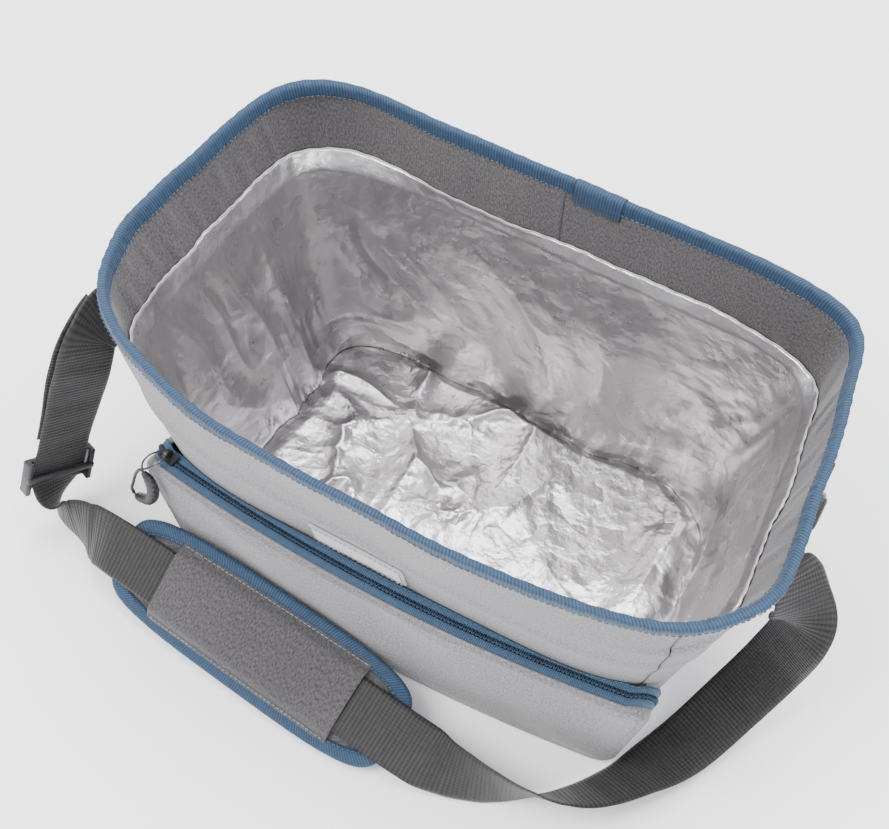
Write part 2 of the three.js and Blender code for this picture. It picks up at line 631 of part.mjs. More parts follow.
// Rings in the plane of the side walls, with the strap's ends and the tabs gathered round them.
function arcTube(centre, from, to, outer, inner, steps) {
  class Arc extends THREE.Curve {
    getPoint(t, target = new THREE.Vector3()) {
      const angle = radians(mix(from, to, t));
      return target.set(centre.x, centre.y + RING_RADIUS * Math.cos(angle), centre.z + RING_RADIUS * Math.sin(angle));
    }
  }
  const section = new THREE.Shape();
  section.absarc(0, 0, outer, 0, 2 * Math.PI);
  const hole = new THREE.Path();
  hole.absarc(0, 0, inner, 0, 2 * Math.PI, true);
  section.holes.push(hole);
  return new THREE.ExtrudeGeometry(section, {
    steps, extrudePath: new Arc(), bevelEnabled: false, curveSegments: 4,
  });
}

const EYE_INNER = RING_WIRE + 0.7;
const EYE_OUTER = EYE_INNER + WEBBING;
for (const [side, sign] of [['left', -1], ['right', 1]]) {
  const centre = { x: sign * PIVOT.x, y: PIVOT.y, z: PIVOT.z };
  const ring = new THREE.TorusGeometry(RING_RADIUS, RING_WIRE, 6, 22);
  ring.rotateY(Math.PI / 2);
  ring.translate(centre.x, centre.y, centre.z);
  add(`strap_ring_${side}`, ring, STEEL);
  add(`strap_end_${side}`, arcTube(
    centre, STRAP_LOOP_AT - RING_LOOP_ANGLE, STRAP_LOOP_AT + RING_LOOP_ANGLE, EYE_OUTER, EYE_INNER, 5,
  ), DARK_WEBBING);

  // The tab: an eye round the ring's top, and a flap sewn to the side wall above it.
  const eye = solid(arcTube(centre, 90 - RING_LOOP_ANGLE, 90 + RING_LOOP_ANGLE, EYE_OUTER, EYE_INNER, 5));
  const TAB_HALF = 10;
  const FLAP_LOW = PIVOT.z + RING_RADIUS - 2;
  const FLAP_HIGH = BAG_HEIGHT - BINDING_DROP - 2;
  const wallX = (y, z) => {
    const shape = outline(z, 0);
    const across = Math.abs(y - shape.centreY) / shape.halfY;
    const n = shape.squareness(sign < 0, y > shape.centreY);
    return shape.centreX + sign * shape.halfX * (1 - across ** n) ** (1 / n) * (1 - shape.taper * (y - shape.centreY));
  };
  const flap = solid(bentBox(2, 4, 1, (u, v, w) => {
    const y = PIVOT.y + mix(-TAB_HALF, TAB_HALF, u);
    const z = mix(FLAP_LOW, FLAP_HIGH, v);
    return new THREE.Vector3(wallX(y, z) + sign * (GAP + 0.2 + 2 * w), y, z);
  }));
  const EYE_TOP = PIVOT.z + RING_RADIUS + EYE_INNER;
  const neckLow = solid(bentBox(1, 1, 1, (u, v, w) => {
    const y = PIVOT.y + mix(-TAB_HALF, TAB_HALF, u);
    const z = mix(EYE_TOP + 0.2 - (v < 0.5 ? 0.1 : 0), EYE_TOP + 2.6, v);
    const near = wallX(y, z) + sign * (GAP + 0.8);
    return new THREE.Vector3(mix(near, centre.x + sign * 1.5, w), y, z);
  }));
  add(`strap_tab_${side}`, fromSolid(eye.add(flap).add(neckLow)), DARK_WEBBING);
}

// ---- shoulder pad -------------------------------------------------------------------------

// Route position of a fraction along the pad, from -1 to 1.
const padPosition = (f) => mix(PAD_START, PAD_END, (f + 1) / 2);
const PAD_SQUARENESS = 4.5;
const PAD_TOP = WEBBING / 2 + 1.9;
const padHalfWidth = (f) => PAD_HALF_WIDTH * (1 - Math.abs(f) ** PAD_SQUARENESS) ** (1 / PAD_SQUARENESS);
const PAD_REACH = 0.98;          // the foam stops just short of the outline's ends

add('pad_body', bentBox(16, 2, 1, (u, v, w) => {
  const f = PAD_REACH * Math.sin((u - 0.5) * Math.PI);
  return onStrap(padPosition(f), (padHalfWidth(f) - 0.8) * mix(-1, 1, v), PAD_TOP + PAD_THICKNESS * w);
}), HEATHER);

const SLEEVE_REACH = 0.7;
const SLEEVE_HALF = 29;
const SLEEVE = 0.9;
add('pad_sleeve', bentBox(12, 6, 1, (u, v, w) => {
  const across = SLEEVE_HALF * mix(-1, 1, v);
  const drop = THREE.MathUtils.smoothstep(Math.abs(across), 23, SLEEVE_HALF);
  const face = mix(-WEBBING / 2 - 1.1, PAD_TOP - GAP, drop);
  return onStrap(padPosition(SLEEVE_REACH * mix(-1, 1, u)), across, face - SLEEVE * (1 - w));
}), HEATHER);

const BINDING_LIP = 1;
add('pad_binding', bentRing(40, [
  [GAP, PAD_TOP - BINDING_LIP], [PAD_BINDING, PAD_TOP - BINDING_LIP],
  [PAD_BINDING, PAD_TOP + PAD_THICKNESS + BINDING_LIP], [GAP, PAD_TOP + PAD_THICKNESS + BINDING_LIP],
], (angle, out, under) => {
  const c = Math.cos(angle);
  const s = Math.sin(angle);
  const power = 2 / PAD_SQUARENESS;
  const f = signedPower(c, power) * (1 + out / (PAD_LENGTH / 2));
  const across = signedPower(s, power) * (PAD_HALF_WIDTH + out);
  return onStrap(padPosition(f), across, under);
}), BLUE);

// ---- strap adjuster -----------------------------------------------------------------------

// A three-bar slide: the webbing runs under the end bars and over the middle bar.
const ADJUSTER = { width: 50, length: 26, rail: 3.6, bar: 3.6, depth: 15 };
const boxAt = (w, l, d, x, y, z) => {
  const box = new THREE.BoxGeometry(w, l, d);
  box.translate(x, y, z);
  return solid(box);
};
const railX = (ADJUSTER.width - ADJUSTER.rail) / 2;
const endY = (ADJUSTER.length - ADJUSTER.bar) / 2;
const BAR_THICK = 2.4;
const barZ = (ADJUSTER.depth - BAR_THICK) / 2;
const adjuster = boxAt(ADJUSTER.rail, ADJUSTER.length, ADJUSTER.depth, railX, 0, 0)
  .add(boxAt(ADJUSTER.rail, ADJUSTER.length, ADJUSTER.depth, -railX, 0, 0))
  .add(boxAt(ADJUSTER.width, ADJUSTER.bar, BAR_THICK, 0, endY, barZ))
  .add(boxAt(ADJUSTER.width, ADJUSTER.bar, BAR_THICK, 0, -endY, barZ))
  .add(boxAt(ADJUSTER.width, ADJUSTER.bar, BAR_THICK, 0, 0, -barZ));
const adjusterGeometry = fromSolid(adjuster);
const frame = strapFrame(ADJUSTER_AT);
const outward = frame.under.clone().negate();
adjusterGeometry.applyMatrix4(new THREE.Matrix4()
  .makeBasis(frame.across, new THREE.Vector3().crossVectors(outward, frame.across), outward)
  .setPosition(frame.centre));
add('strap_adjuster', adjusterGeometry, BLACK_PLASTIC);

export default bag;
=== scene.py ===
"""Looks of the insulated cooler bag. Metres, in the CAD frame; the wall and strap formulas work in mm."""

import math

import bmesh
import bpy
import numpy as np
from mathutils import Matrix, Vector


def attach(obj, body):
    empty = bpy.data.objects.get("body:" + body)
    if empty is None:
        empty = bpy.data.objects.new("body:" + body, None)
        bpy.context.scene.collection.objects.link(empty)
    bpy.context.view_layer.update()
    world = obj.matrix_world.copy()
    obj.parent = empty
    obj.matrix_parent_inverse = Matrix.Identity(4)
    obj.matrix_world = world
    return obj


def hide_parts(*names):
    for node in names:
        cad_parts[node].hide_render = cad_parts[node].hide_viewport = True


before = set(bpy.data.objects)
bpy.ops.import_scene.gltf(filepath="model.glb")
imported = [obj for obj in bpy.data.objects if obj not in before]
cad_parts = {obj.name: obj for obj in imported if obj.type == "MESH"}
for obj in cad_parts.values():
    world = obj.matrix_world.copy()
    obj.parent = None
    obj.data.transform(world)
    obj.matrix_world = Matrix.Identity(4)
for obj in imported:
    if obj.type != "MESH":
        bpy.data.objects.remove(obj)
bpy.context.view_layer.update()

MM = 0.001
rng = np.random.default_rng(7)

# ---- camera, lights, floor ------------------------------------------------------------------


CAMERA_AT = (0.20774, -0.48892, 0.91656)
AZIMUTH, ELEVATION, ROLL = 0.449270781, 0.978871539, 0.0666159005    # radians


def camera():
    level = math.cos(ELEVATION)
    back = Vector((math.sin(AZIMUTH) * level, -math.cos(AZIMUTH) * level, math.sin(ELEVATION)))
    right = Vector((math.cos(AZIMUTH), math.sin(AZIMUTH), 0))
    up = back.cross(right)
    x_axis = right * math.cos(ROLL) + up * math.sin(ROLL)
    y_axis = up * math.cos(ROLL) - right * math.sin(ROLL)
    data = bpy.data.cameras.new("camera")
    data.lens = 60.66
    data.sensor_width = 36
    cam = bpy.data.objects.new("camera", data)
    cam.matrix_world = Matrix((
        (x_axis.x, y_axis.x, back.x, CAMERA_AT[0]),
        (x_axis.y, y_axis.y, back.y, CAMERA_AT[1]),
        (x_axis.z, y_axis.z, back.z, CAMERA_AT[2]),
        (0, 0, 0, 1),
    ))
    bpy.context.scene.collection.objects.link(cam)
    bpy.context.scene.camera = cam


def area_light(name, at, target, size, power, colour=(1, 1, 1)):
    data = bpy.data.lights.new(name, "AREA")
    data.shape = "RECTANGLE"
    data.size, data.size_y = size
    data.energy = power
    data.color = colour
    light = bpy.data.objects.new(name, data)
    light.location = at
    light.rotation_mode = "QUATERNION"
    light.rotation_quaternion = (Vector(target) - Vector(at)).to_track_quat("-Z", "Y")
    bpy.context.scene.collection.objects.link(light)


camera()
area_light("key", (-0.9, -1.0, 1.9), (0, -0.05, 0.1), (1.1, 1.1), 60, (1.0, 0.99, 0.97))
area_light("overhead", (0.1, 0.5, 2.1), (0, 0, 0.1), (1.6, 1.2), 72, (0.97, 0.98, 1.0))
area_light("fill", (1.7, -0.9, 1.0), (0, -0.05, 0.1), (1.2, 1.0), 23, (0.96, 0.98, 1.0))

world = bpy.data.worlds.new("world")
world.use_nodes = True
world.node_tree.nodes["Background"].inputs["Color"].default_value = (0.95, 0.96, 1.0, 1)
world.node_tree.nodes["Background"].inputs["Strength"].default_value = 1.45
bpy.context.scene.world = world

# ---- materials ------------------------------------------------------------------------------


class Nodes:
    """A material's node tree with short calls."""

    def __init__(self, name, roughness, metallic=0.0, sheen=0.0, specular=0.5):
        self.material = bpy.data.materials.new(name)
        self.material.use_nodes = True
        self.tree = self.material.node_tree
        self.shader = self.tree.nodes["Principled BSDF"]
        self.shader.inputs["Roughness"].default_value = roughness
        self.shader.inputs["Metallic"].default_value = metallic
        self.shader.inputs["Sheen Weight"].default_value = sheen
        self.shader.inputs["Sheen Roughness"].default_value = 0.45
        self.shader.inputs["Specular IOR Level"].default_value = specular
        self.coords = self.tree.nodes.new("ShaderNodeTexCoord")

    def node(self, kind, **settings):
        made = self.tree.nodes.new("ShaderNode" + kind)
        for key, value in settings.items():
            if hasattr(made, key):
                setattr(made, key, value)
            else:
                made.inputs[key.replace("_", " ")].default_value = value
        return made

    def link(self, a, b):
        self.tree.links.new(a, b)

    def mapped(self, source, scale):
        mapping = self.node("Mapping")
        mapping.inputs["Scale"].default_value = scale
        self.link(self.coords.outputs[source], mapping.inputs["Vector"])
        return mapping.outputs["Vector"]

    def noise(self, scale, detail=3.0, source="Object", stretch=(1, 1, 1)):
        made = self.node("TexNoise", Scale=scale, Detail=detail)
        self.link(self.mapped(source, stretch), made.inputs["Vector"])
        return made.outputs["Fac"]

    def wave(self, per_metre, direction, source="UV", distortion=0.0):
        """Bands whose period is 1 / per_metre metres along the given direction."""
        made = self.node("TexWave", wave_type="BANDS", bands_direction=direction, Scale=1.0)
        made.inputs["Distortion"].default_value = distortion
        factor = per_metre * 2 * math.pi / 20
        self.link(self.mapped(source, (factor, factor, factor)), made.inputs["Vector"])
        return made.outputs["Fac"]

    def voronoi(self, scale, source="Object", feature="F1"):
        made = self.node("TexVoronoi", Scale=scale, feature=feature)
        self.link(self.coords.outputs[source], made.inputs["Vector"])
        return made.outputs["Distance"]

    def math(self, operation, a, b):
        made = self.node("Math", operation=operation)
        for socket, value in zip(made.inputs, (a, b)):
            if isinstance(value, (int, float)):
                socket.default_value = value
            else:
                self.link(value, socket)
        return made.outputs["Value"]

    def ramp(self, factor, stops):
        made = self.node("ValToRGB")
        elements = made.color_ramp.elements
        while len(elements) < len(stops):
            elements.new(0.5)
        for element, (position, colour) in zip(elements, stops):
            element.position = position
            element.color = (*colour, 1)
        self.link(factor, made.inputs["Fac"])
        return made.outputs["Color"]

    def mix(self, factor, a, b, kind="MIX"):
        made = self.node("Mix", data_type="RGBA", blend_type=kind)
        for socket, value in ((made.inputs[0], factor), (made.inputs[6], a), (made.inputs[7], b)):
            if isinstance(value, (int, float)):
                socket.default_value = value
            elif isinstance(value, tuple):
                socket.default_value = (*value, 1)
            else:
                self.link(value, socket)
        return made.outputs[2]

    def colour(self, value):
        self.link(value, self.shader.inputs["Base Color"])

    def bump(self, *layers):
        """Stacks (height, strength, distance in metres) layers."""
        normal = None
        for height, strength, distance in layers:
            made = self.node("Bump", Strength=strength, Distance=distance)
            self.link(height, made.inputs["Height"])
            if normal is not None:
                self.link(normal, made.inputs["Normal"])
            normal = made.outputs["Normal"]
        self.link(normal, self.shader.inputs["Normal"])


def canvas(name, dark, light, weave=900):
    m = Nodes(name, 0.88, sheen=0.25, specular=0.25)
    heather = m.noise(850, 3, "UV", (1, 0.5, 1))
    # painted shade: a broad noise darkens the canvas colour in soft patches, standing in for the soft shading
    # of its folds
    painted_shade_noise = m.noise(9, 3)
    base = m.ramp(heather, [(0.3, dark), (0.7, light)])
    shade = m.ramp(painted_shade_noise, [(0.3, (0.84, 0.84, 0.85)), (0.7, (1, 1, 1))])
    warp, weft = m.wave(weave, "X"), m.wave(weave, "Y")
    threads = m.ramp(m.math("MULTIPLY", warp, weft), [(0.0, (0.82, 0.82, 0.82)), (0.6, (1, 1, 1))])
    m.colour(m.mix(1.0, m.mix(1.0, base, shade, "MULTIPLY"), threads, "MULTIPLY"))
    m.bump(
        (m.math("MULTIPLY", warp, weft), 0.5, 0.00025),
        (m.noise(1800, 2, "UV"), 0.25, 0.0002),
        (m.noise(45, 3), 0.25, 0.0015),
    )
    return m.material


def ribbed(name, dark, light, pitch, across=0.0, roughness=0.7, depth=0.0004, sheen=0.3):
    """Woven tape: ribs every pitch metres along U, with finer threads across."""
    m = Nodes(name, roughness, sheen=sheen, specular=0.4)
    ribs = m.wave(1 / pitch, "X", distortion=0.15)
    threads = m.wave(1 / (across or pitch * 0.6), "Y", distortion=0.1)
    height = m.math("ADD", m.math("MULTIPLY", ribs, 0.75), m.math("MULTIPLY", threads, 0.25))
    mottle = m.math("ADD", m.math("MULTIPLY", height, 0.6), m.math("MULTIPLY", m.noise(260, 3), 0.4))
    m.colour(m.ramp(mottle, [(0.2, dark), (0.75, light)]))
    m.bump((height, 0.85, depth), (m.noise(1500, 2), 0.3, 0.0001))
    return m.material


def foil(name, tone, crinkle):
    m = Nodes(name, 0.3, metallic=0.92)
    blotch = m.noise(26, 5)
    m.colour(m.ramp(blotch, [(0.25, tuple(0.93 * c for c in tone)), (0.7, tone)]))
    m.link(m.ramp(m.noise(60, 4), [(0.3, (0.25,) * 3), (0.75, (0.38,) * 3)]), m.shader.inputs["Roughness"])
    ridge = m.math("ABSOLUTE", m.math("SUBTRACT", m.noise(17, 5), 0.5), 0.0)
    m.bump(
        (ridge, 0.8 * crinkle, 0.012),
        (m.voronoi(60), 0.3 * crinkle, 0.0022),
        (m.noise(220, 4), 0.3 * crinkle, 0.0005),
    )
    return m.material


def plain(name, dark, light, roughness, metallic=0.0, grain=900, depth=0.00008):
    m = Nodes(name, roughness, metallic)
    m.colour(m.ramp(m.noise(120, 3), [(0.3, dark), (0.7, light)]))
    wear = m.ramp(m.noise(70, 4), [(0.35, (roughness * 0.8,) * 3), (0.7, (min(roughness * 1.25, 1),) * 3)])
    m.link(wear, m.shader.inputs["Roughness"])
    m.bump((m.noise(grain, 3), 0.4, depth))
    return m.material


def plush(name):
    m = Nodes(name, 1.0, sheen=0.9, specular=0.1)
    m.colour(m.ramp(m.noise(1400, 4), [(0.3, (0.24, 0.24, 0.25)), (0.65, (0.44, 0.435, 0.45))]))
    m.bump((m.noise(1500, 4), 1.0, 0.0009), (m.noise(300, 3), 0.6, 0.0008))
    return m.material


CANVAS = canvas("canvas_grey", (0.09, 0.084, 0.09), (0.28, 0.27, 0.28))
LINING = canvas("lining_grey", (0.045, 0.04, 0.043), (0.145, 0.133, 0.138), 700)
HEATHER = canvas("pad_heather", (0.038, 0.036, 0.038), (0.12, 0.113, 0.117), 1000)
BLUE = ribbed("blue_grosgrain", (0.006, 0.018, 0.042), (0.022, 0.058, 0.115), 0.0019, 0.0009, sheen=0.08)
ZIP_TAPE = ribbed("blue_zip_tape", (0.016, 0.038, 0.075), (0.052, 0.105, 0.178), 0.0013, 0.0011, sheen=0.08)
WEBBING = ribbed(
    "black_webbing", (0.0035, 0.0032, 0.0033), (0.024, 0.0215, 0.0215), 0.0028, 0.0023, 0.6, 0.0006, 0.12,
)
THREAD = plain("blue_thread", (0.03, 0.06, 0.1), (0.08, 0.13, 0.2), 0.7)
GREY_THREAD = plain("grey_thread", (0.16, 0.16, 0.17), (0.3, 0.3, 0.31), 0.8)
FOIL = foil("foil", (0.48, 0.462, 0.47), 0.7)
FOIL_FLOOR = foil("foil_floor", (0.42, 0.405, 0.412), 1.0)
HEM = plain("foil_hem", (0.3, 0.285, 0.29), (0.5, 0.48, 0.49), 0.5, 0.2)
SEAM = plain("seam_thread", (0.035, 0.033, 0.037), (0.06, 0.056, 0.06), 0.8)
PLUSH = plush("loop_pile")
PLASTIC = plain("black_plastic", (0.008, 0.008, 0.009), (0.022, 0.022, 0.024), 0.42)
METAL = plain("dark_metal", (0.03, 0.032, 0.036), (0.07, 0.072, 0.078), 0.32, 0.85)
FOAM = plain("foam", (0.62, 0.62, 0.6), (0.75, 0.75, 0.73), 0.9, grain=2500, depth=0.0003)
BOARD = plain("board", (0.02, 0.02, 0.021), (0.035, 0.035, 0.036), 0.6)
COIL = plain("blue_coil", (0.012, 0.026, 0.05), (0.028, 0.055, 0.1), 0.45)

# ---- mesh helpers ---------------------------------------------------------------------------


def make(name, vertices, faces, material, body, replaced=(), uv=None, smooth=True):
    mesh = bpy.data.meshes.new(name)
    mesh.from_pydata([tuple(v) for v in vertices], [], [tuple(f) for f in faces])
    if uv is not None:
        layer = mesh.uv_layers.new(name="UVMap")
        flat = np.array(uv, float).reshape(-1, 2)
        layer.data.foreach_set("uv", flat.ravel())
    mesh.update()
    for p in mesh.polygons:
        p.use_smooth = smooth
    mesh.materials.append(material)
    obj = bpy.data.objects.new(name, mesh)
    bpy.context.scene.collection.objects.link(obj)
    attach(obj, body)
    if replaced:
        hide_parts(*replaced)
    return obj


def shell(name, grid, thickness, material, body, replaced=(), wrap=False, toward=None, edge=0.0):
    """A cloth-thin closed solid from a grid of points in metres, (rows along U, columns along V).
    The grid is the outer face; toward is a point on the side its thickness goes to."""
    P = np.asarray(grid, float)
    nu, nv = P.shape[:2]
    if wrap:
        du = np.roll(P, -1, 0) - np.roll(P, 1, 0)
    else:
        du = np.gradient(P, axis=0)
    dv = np.gradient(P, axis=1)
    N = np.cross(du, dv)
    N /= np.maximum(np.linalg.norm(N, axis=2, keepdims=True), 1e-12)
    if toward is not None:
        side = np.sum(N * (np.asarray(toward) - P), axis=2).mean()
        if side < 0:
            N = -N
    Q = P + N * thickness
    if edge:
        v = np.linspace(0, 1, nv)
        pinch = (np.abs(2 * v - 1) ** 24)[None, :, None]
        middle = (P + Q) / 2
        P = P * (1 - pinch * edge) + middle * pinch * edge
        Q = Q * (1 - pinch * edge) + middle * pinch * edge
    step_u = np.linalg.norm(np.roll(P, -1, 0) - P, axis=2).mean(1)
    along = np.concatenate([[0], np.cumsum(step_u)])
    step_v = np.linalg.norm(np.diff(P, axis=1), axis=2).mean(0)
    across = np.concatenate([[0], np.cumsum(step_v)])
    index = lambda i, j, layer: layer * nu * nv + (i % nu) * nv + j
    faces, uvs = [], []

    def quad(a, b, c, d, coords):
        faces.append((a, b, c, d))
        uvs.extend(coords)

    for i in range(nu if wrap else nu - 1):
        u0, u1 = along[i], along[i + 1]
        for j in range(nv - 1):
            v0, v1 = across[j], across[j + 1]
            box = [(u0, v0), (u1, v0), (u1, v1), (u0, v1)]
            quad(index(i, j, 0), index(i + 1, j, 0), index(i + 1, j + 1, 0), index(i, j + 1, 0), box)
            quad(index(i, j + 1, 1), index(i + 1, j + 1, 1), index(i + 1, j, 1), index(i, j, 1), box[::-1])
        for j, order in ((0, 1), (nv - 1, -1)):
            v0, v1 = across[j], across[j] + thickness
            loop = [index(i, j, 0), index(i, j, 1), index(i + 1, j, 1), index(i + 1, j, 0)]
            quad(*loop[::order], [(u0, v0), (u0, v1), (u1, v1), (u1, v0)][::order])
    if not wrap:
        for j in range(nv - 1):
            v0, v1 = across[j], across[j + 1]
            for i, order in ((0, -1), (nu - 1, 1)):
                loop = [index(i, j, 0), index(i, j, 1), index(i, j + 1, 1), index(i, j + 1, 0)]
                box = [(along[i], v0), (along[i], v0), (along[i], v1), (along[i], v1)]
                quad(*loop[::order], box[::order])
    points = np.concatenate([P.reshape(-1, 3), Q.reshape(-1, 3)])
    return face_out(make(name, points, faces, material, body, replaced, uvs))


def face_out(obj):
    bm = bmesh.new()
    bm.from_mesh(obj.data)
    bmesh.ops.recalc_face_normals(bm, faces=bm.faces)
    bm.to_mesh(obj.data)
    bm.free()
    return obj


def sweep(name, rings, material, body, replaced=(), wrap=False, caps=True):
    """A tube from rings of points, each ring closed."""
    R = np.asarray(rings, float)
    n, m = R.shape[:2]
    step = np.linalg.norm(np.roll(R, -1, 0) - R, axis=2).mean(1)
    along = np.concatenate([[0], np.cumsum(step)])
    round_ = np.concatenate([[0], np.cumsum(np.linalg.norm(np.roll(R, -1, 1) - R, axis=2).mean(0))])
    faces, uvs = [], []
    for i in range(n if wrap else n - 1):
        for j in range(m):
            here, ahead, after = i * m, ((i + 1) % n) * m, (j + 1) % m
            faces.append((here + j, ahead + j, ahead + after, here + after))
            u0, u1, v0, v1 = along[i], along[i + 1], round_[j], round_[j + 1]
            uvs.extend([(u0, v0), (u1, v0), (u1, v1), (u0, v1)])
    if caps and not wrap:
        faces.append(tuple(range(m)))
        uvs.extend([(0, 0)] * m)
        faces.append(tuple((n - 1) * m + j for j in range(m - 1, -1, -1)))
        uvs.extend([(0, 0)] * m)
    return face_out(make(name, R.reshape(-1, 3), faces, material, body, replaced, uvs))


def tube(name, path, radius, material, body, replaced=(), sides=10, wrap=False):
    P = np.asarray(path, float)
    if wrap:
        T = np.roll(P, -1, 0) - np.roll(P, 1, 0)
    else:
        T = np.gradient(P, axis=0)
    T /= np.linalg.norm(T, axis=1, keepdims=True)
    side = np.cross(T[0], (0.31, 0.22, 0.92))
    rings = []
    radii = np.broadcast_to(radius, len(P))
    for p, t, r in zip(P, T, radii):
        side = side - t * side.dot(t)
        side /= np.linalg.norm(side)
        other = np.cross(t, side)
        angle = np.linspace(0, 2 * math.pi, sides, endpoint=False)[:, None]
        rings.append(p + r * (np.cos(angle) * side + np.sin(angle) * other))
    return sweep(name, rings, material, body, replaced, wrap)


def spline(points, count):
    """Smooth curve through points, with uniform Catmull-Rom knots."""
    P = np.asarray(points, float)
    return np.array([catmull(P, t) for t in np.linspace(0, len(P) - 1, count)])


def catmull(P, t):
    i = min(int(math.floor(t)), len(P) - 2)
    f = t - i
    p1, p2 = P[i], P[i + 1]
    p0 = P[i - 1] if i > 0 else 2 * P[0] - P[1]
    p3 = P[i + 2] if i + 2 < len(P) else 2 * P[-1] - P[-2]
    a, b = 0.5 * (p2 - p0), 0.5 * (p3 - p1)
    return p1 + a * f + (3 * (p2 - p1) - 2 * a - b) * f ** 2 + (2 * (p1 - p2) + a + b) * f ** 3


def thread_faces(base, rings):
    """Faces of a closed thread whose rings of four points start at vertex base."""
    faces = []
    for k in range(rings - 1):
        here, ahead = base + 4 * k, base + 4 * k + 4
        for j in range(4):
            after = (j + 1) % 4
            faces.append((here + j, here + after, ahead + after, ahead + j))
    end = base + 4 * (rings - 1)
    return faces + [(base + 3, base + 2, base + 1, base), (end, end + 1, end + 2, end + 3)]


QUARTERS = (0, math.pi / 2, math.pi, 3 * math.pi / 2)


def stitches(name, path, normals, material, body, pitch=0.0034, length=0.0023, radius=0.00032):
    """A row of short threads lying on a surface along a path."""
    P, N = np.asarray(path, float), np.asarray(normals, float)
    N = N / np.linalg.norm(N, axis=1, keepdims=True)
    s = np.concatenate([[0], np.cumsum(np.linalg.norm(np.diff(P, axis=0), axis=1))])
    vertices, faces = [], []
    for start in np.arange(0.5 * pitch, s[-1] - length, pitch):
        ends = [np.array([np.interp(start + d, s, P[:, k]) for k in range(3)]) for d in (0, length)]
        normal = np.array([np.interp(start, s, N[:, k]) for k in range(3)])
        normal /= np.linalg.norm(normal)
        t = ends[1] - ends[0]
        t /= np.linalg.norm(t)
        side = np.cross(t, normal)
        base = len(vertices)
        for f, lift in ((0, -0.3), (0.25, 0.75), (0.75, 0.75), (1, -0.3)):
            c = ends[0] * (1 - f) + ends[1] * f + normal * radius * lift
            for a in QUARTERS:
                vertices.append(c + radius * (math.cos(a) * side + math.sin(a) * normal))
        faces.extend(thread_faces(base, 4))
    return make(name, vertices, faces, material, body)


# ---- the bag's wall surface (mm) --------------------------------------------------------------

HEIGHT = 250
BASE_HALF_X, BASE_HALF_Y = 165, 100
FLARE_X, FLARE_FRONT, FLARE_BACK = 46, 57, 6    # how much wider the rim is than the base
RIM_SHIFT_X = -3.5
RIM_TAPER = 0.00052
BASE_SQUARENESS = 7
FRONT_LEFT, FRONT_RIGHT, BACK_LEFT, BACK_RIGHT = 2.6, 3.85, 6.2, 7.8    # squareness of the rim's corners
FOLDS = list(zip(
    (3, 5, 7, 9, 12, 16, 21), (0.9, 1.0, 0.8, 0.7, 0.6, 0.42, 0.3),
    rng.uniform(0, 6.28, 7), rng.uniform(-0.02, 0.02, 7),
))


def smoothstep(a, b, x):
    t = np.clip((x - a) / (b - a), 0, 1)
    return t * t * (3 - 2 * t)


def fold(phi, z):
    """How far the soft wall stands proud at a place: gentle at the padded part, more in the collar."""
    wave = sum(a * np.sin(k * phi + p + q * z) for k, a, p, q in FOLDS)
    weight = 0.25 + 0.95 * smoothstep(150, 215, z) - 0.55 * smoothstep(232, 246, z)
    roll = 2.2 * np.exp(-((z - 160 - 5 * np.sin(2 * phi)) / 8) ** 2) * np.clip(-np.sin(phi), 0, 1) ** 2
    lowest = -0.65 - 4 * smoothstep(188, 204, z)
    return np.maximum(wave * weight * smoothstep(0, 25, z) + roll, lowest)


def outline(z):
    """Share of the height at z, and the half width, front and back distances of the bag's plan there."""
    t = z / HEIGHT
    half_x = BASE_HALF_X + FLARE_X * (0.67 * t + 0.33 * t * t)
    front = BASE_HALF_Y + FLARE_FRONT * (0.74 * t + 0.26 * t * t)
    return t, half_x, front, BASE_HALF_Y + FLARE_BACK * t


def squareness(t, rim):
    return BASE_SQUARENESS + (rim - BASE_SQUARENESS) * t


def wall(phi, z, inset):
    """Points of the wall in metres, for plan directions phi, heights z and insets in mm."""
    phi, z, inset = np.broadcast_arrays(*(np.asarray(each, float) for each in (phi, z, inset)))
    t, half_x, front, back = outline(z)
    half_x, front, back = half_x - inset, front - inset, back - inset
    c, s = np.cos(phi), np.sin(phi)
    rim = np.where(c < 0, np.where(s > 0, BACK_LEFT, FRONT_LEFT), np.where(s > 0, BACK_RIGHT, FRONT_RIGHT))
    n = squareness(t, rim)
    r = (np.abs(c) ** n + np.abs(s) ** n) ** (-1 / n)
    y = (front + back) / 2 * r * s
    x = half_x * r * c * (1 - RIM_TAPER * t * y)
    return np.stack([(RIM_SHIFT_X * t + x) * MM, ((back - front) / 2 + y) * MM, z * MM], -1)


def front_wall_y(x, z):
    """The front wall's y in mm at x and height z."""
    t, half_x, front, back = outline(z)
    centre_x = RIM_SHIFT_X * t
    across = np.minimum(np.abs(x - centre_x) / half_x, 0.999)
    n = squareness(t, np.where(x < centre_x, FRONT_LEFT, FRONT_RIGHT))
    return (back - front) / 2 - (front + back) / 2 * (1 - across ** n) ** (1 / n)


def panel(name, side, low, high, inset, thickness, material, node, count=96, rows=64):
    start = {"right": -45, "back": 45, "left": 135, "front": 225}[side]
    phi = np.radians(np.linspace(start + 0.15, start + 89.85, count))[:, None]
    z = np.linspace(low, high, rows)[None, :]
    points = wall(phi, z, inset - fold(phi, z))
    return shell(name, points, thickness * MM, material, "bag", [node], toward=(0, 0, 0.12))


for side in ("right", "back", "left", "front"):
    panel(f"canvas_{side}", side, 0.3, 247, 0, 1.2, CANVAS, f"outer_{side}_panel")


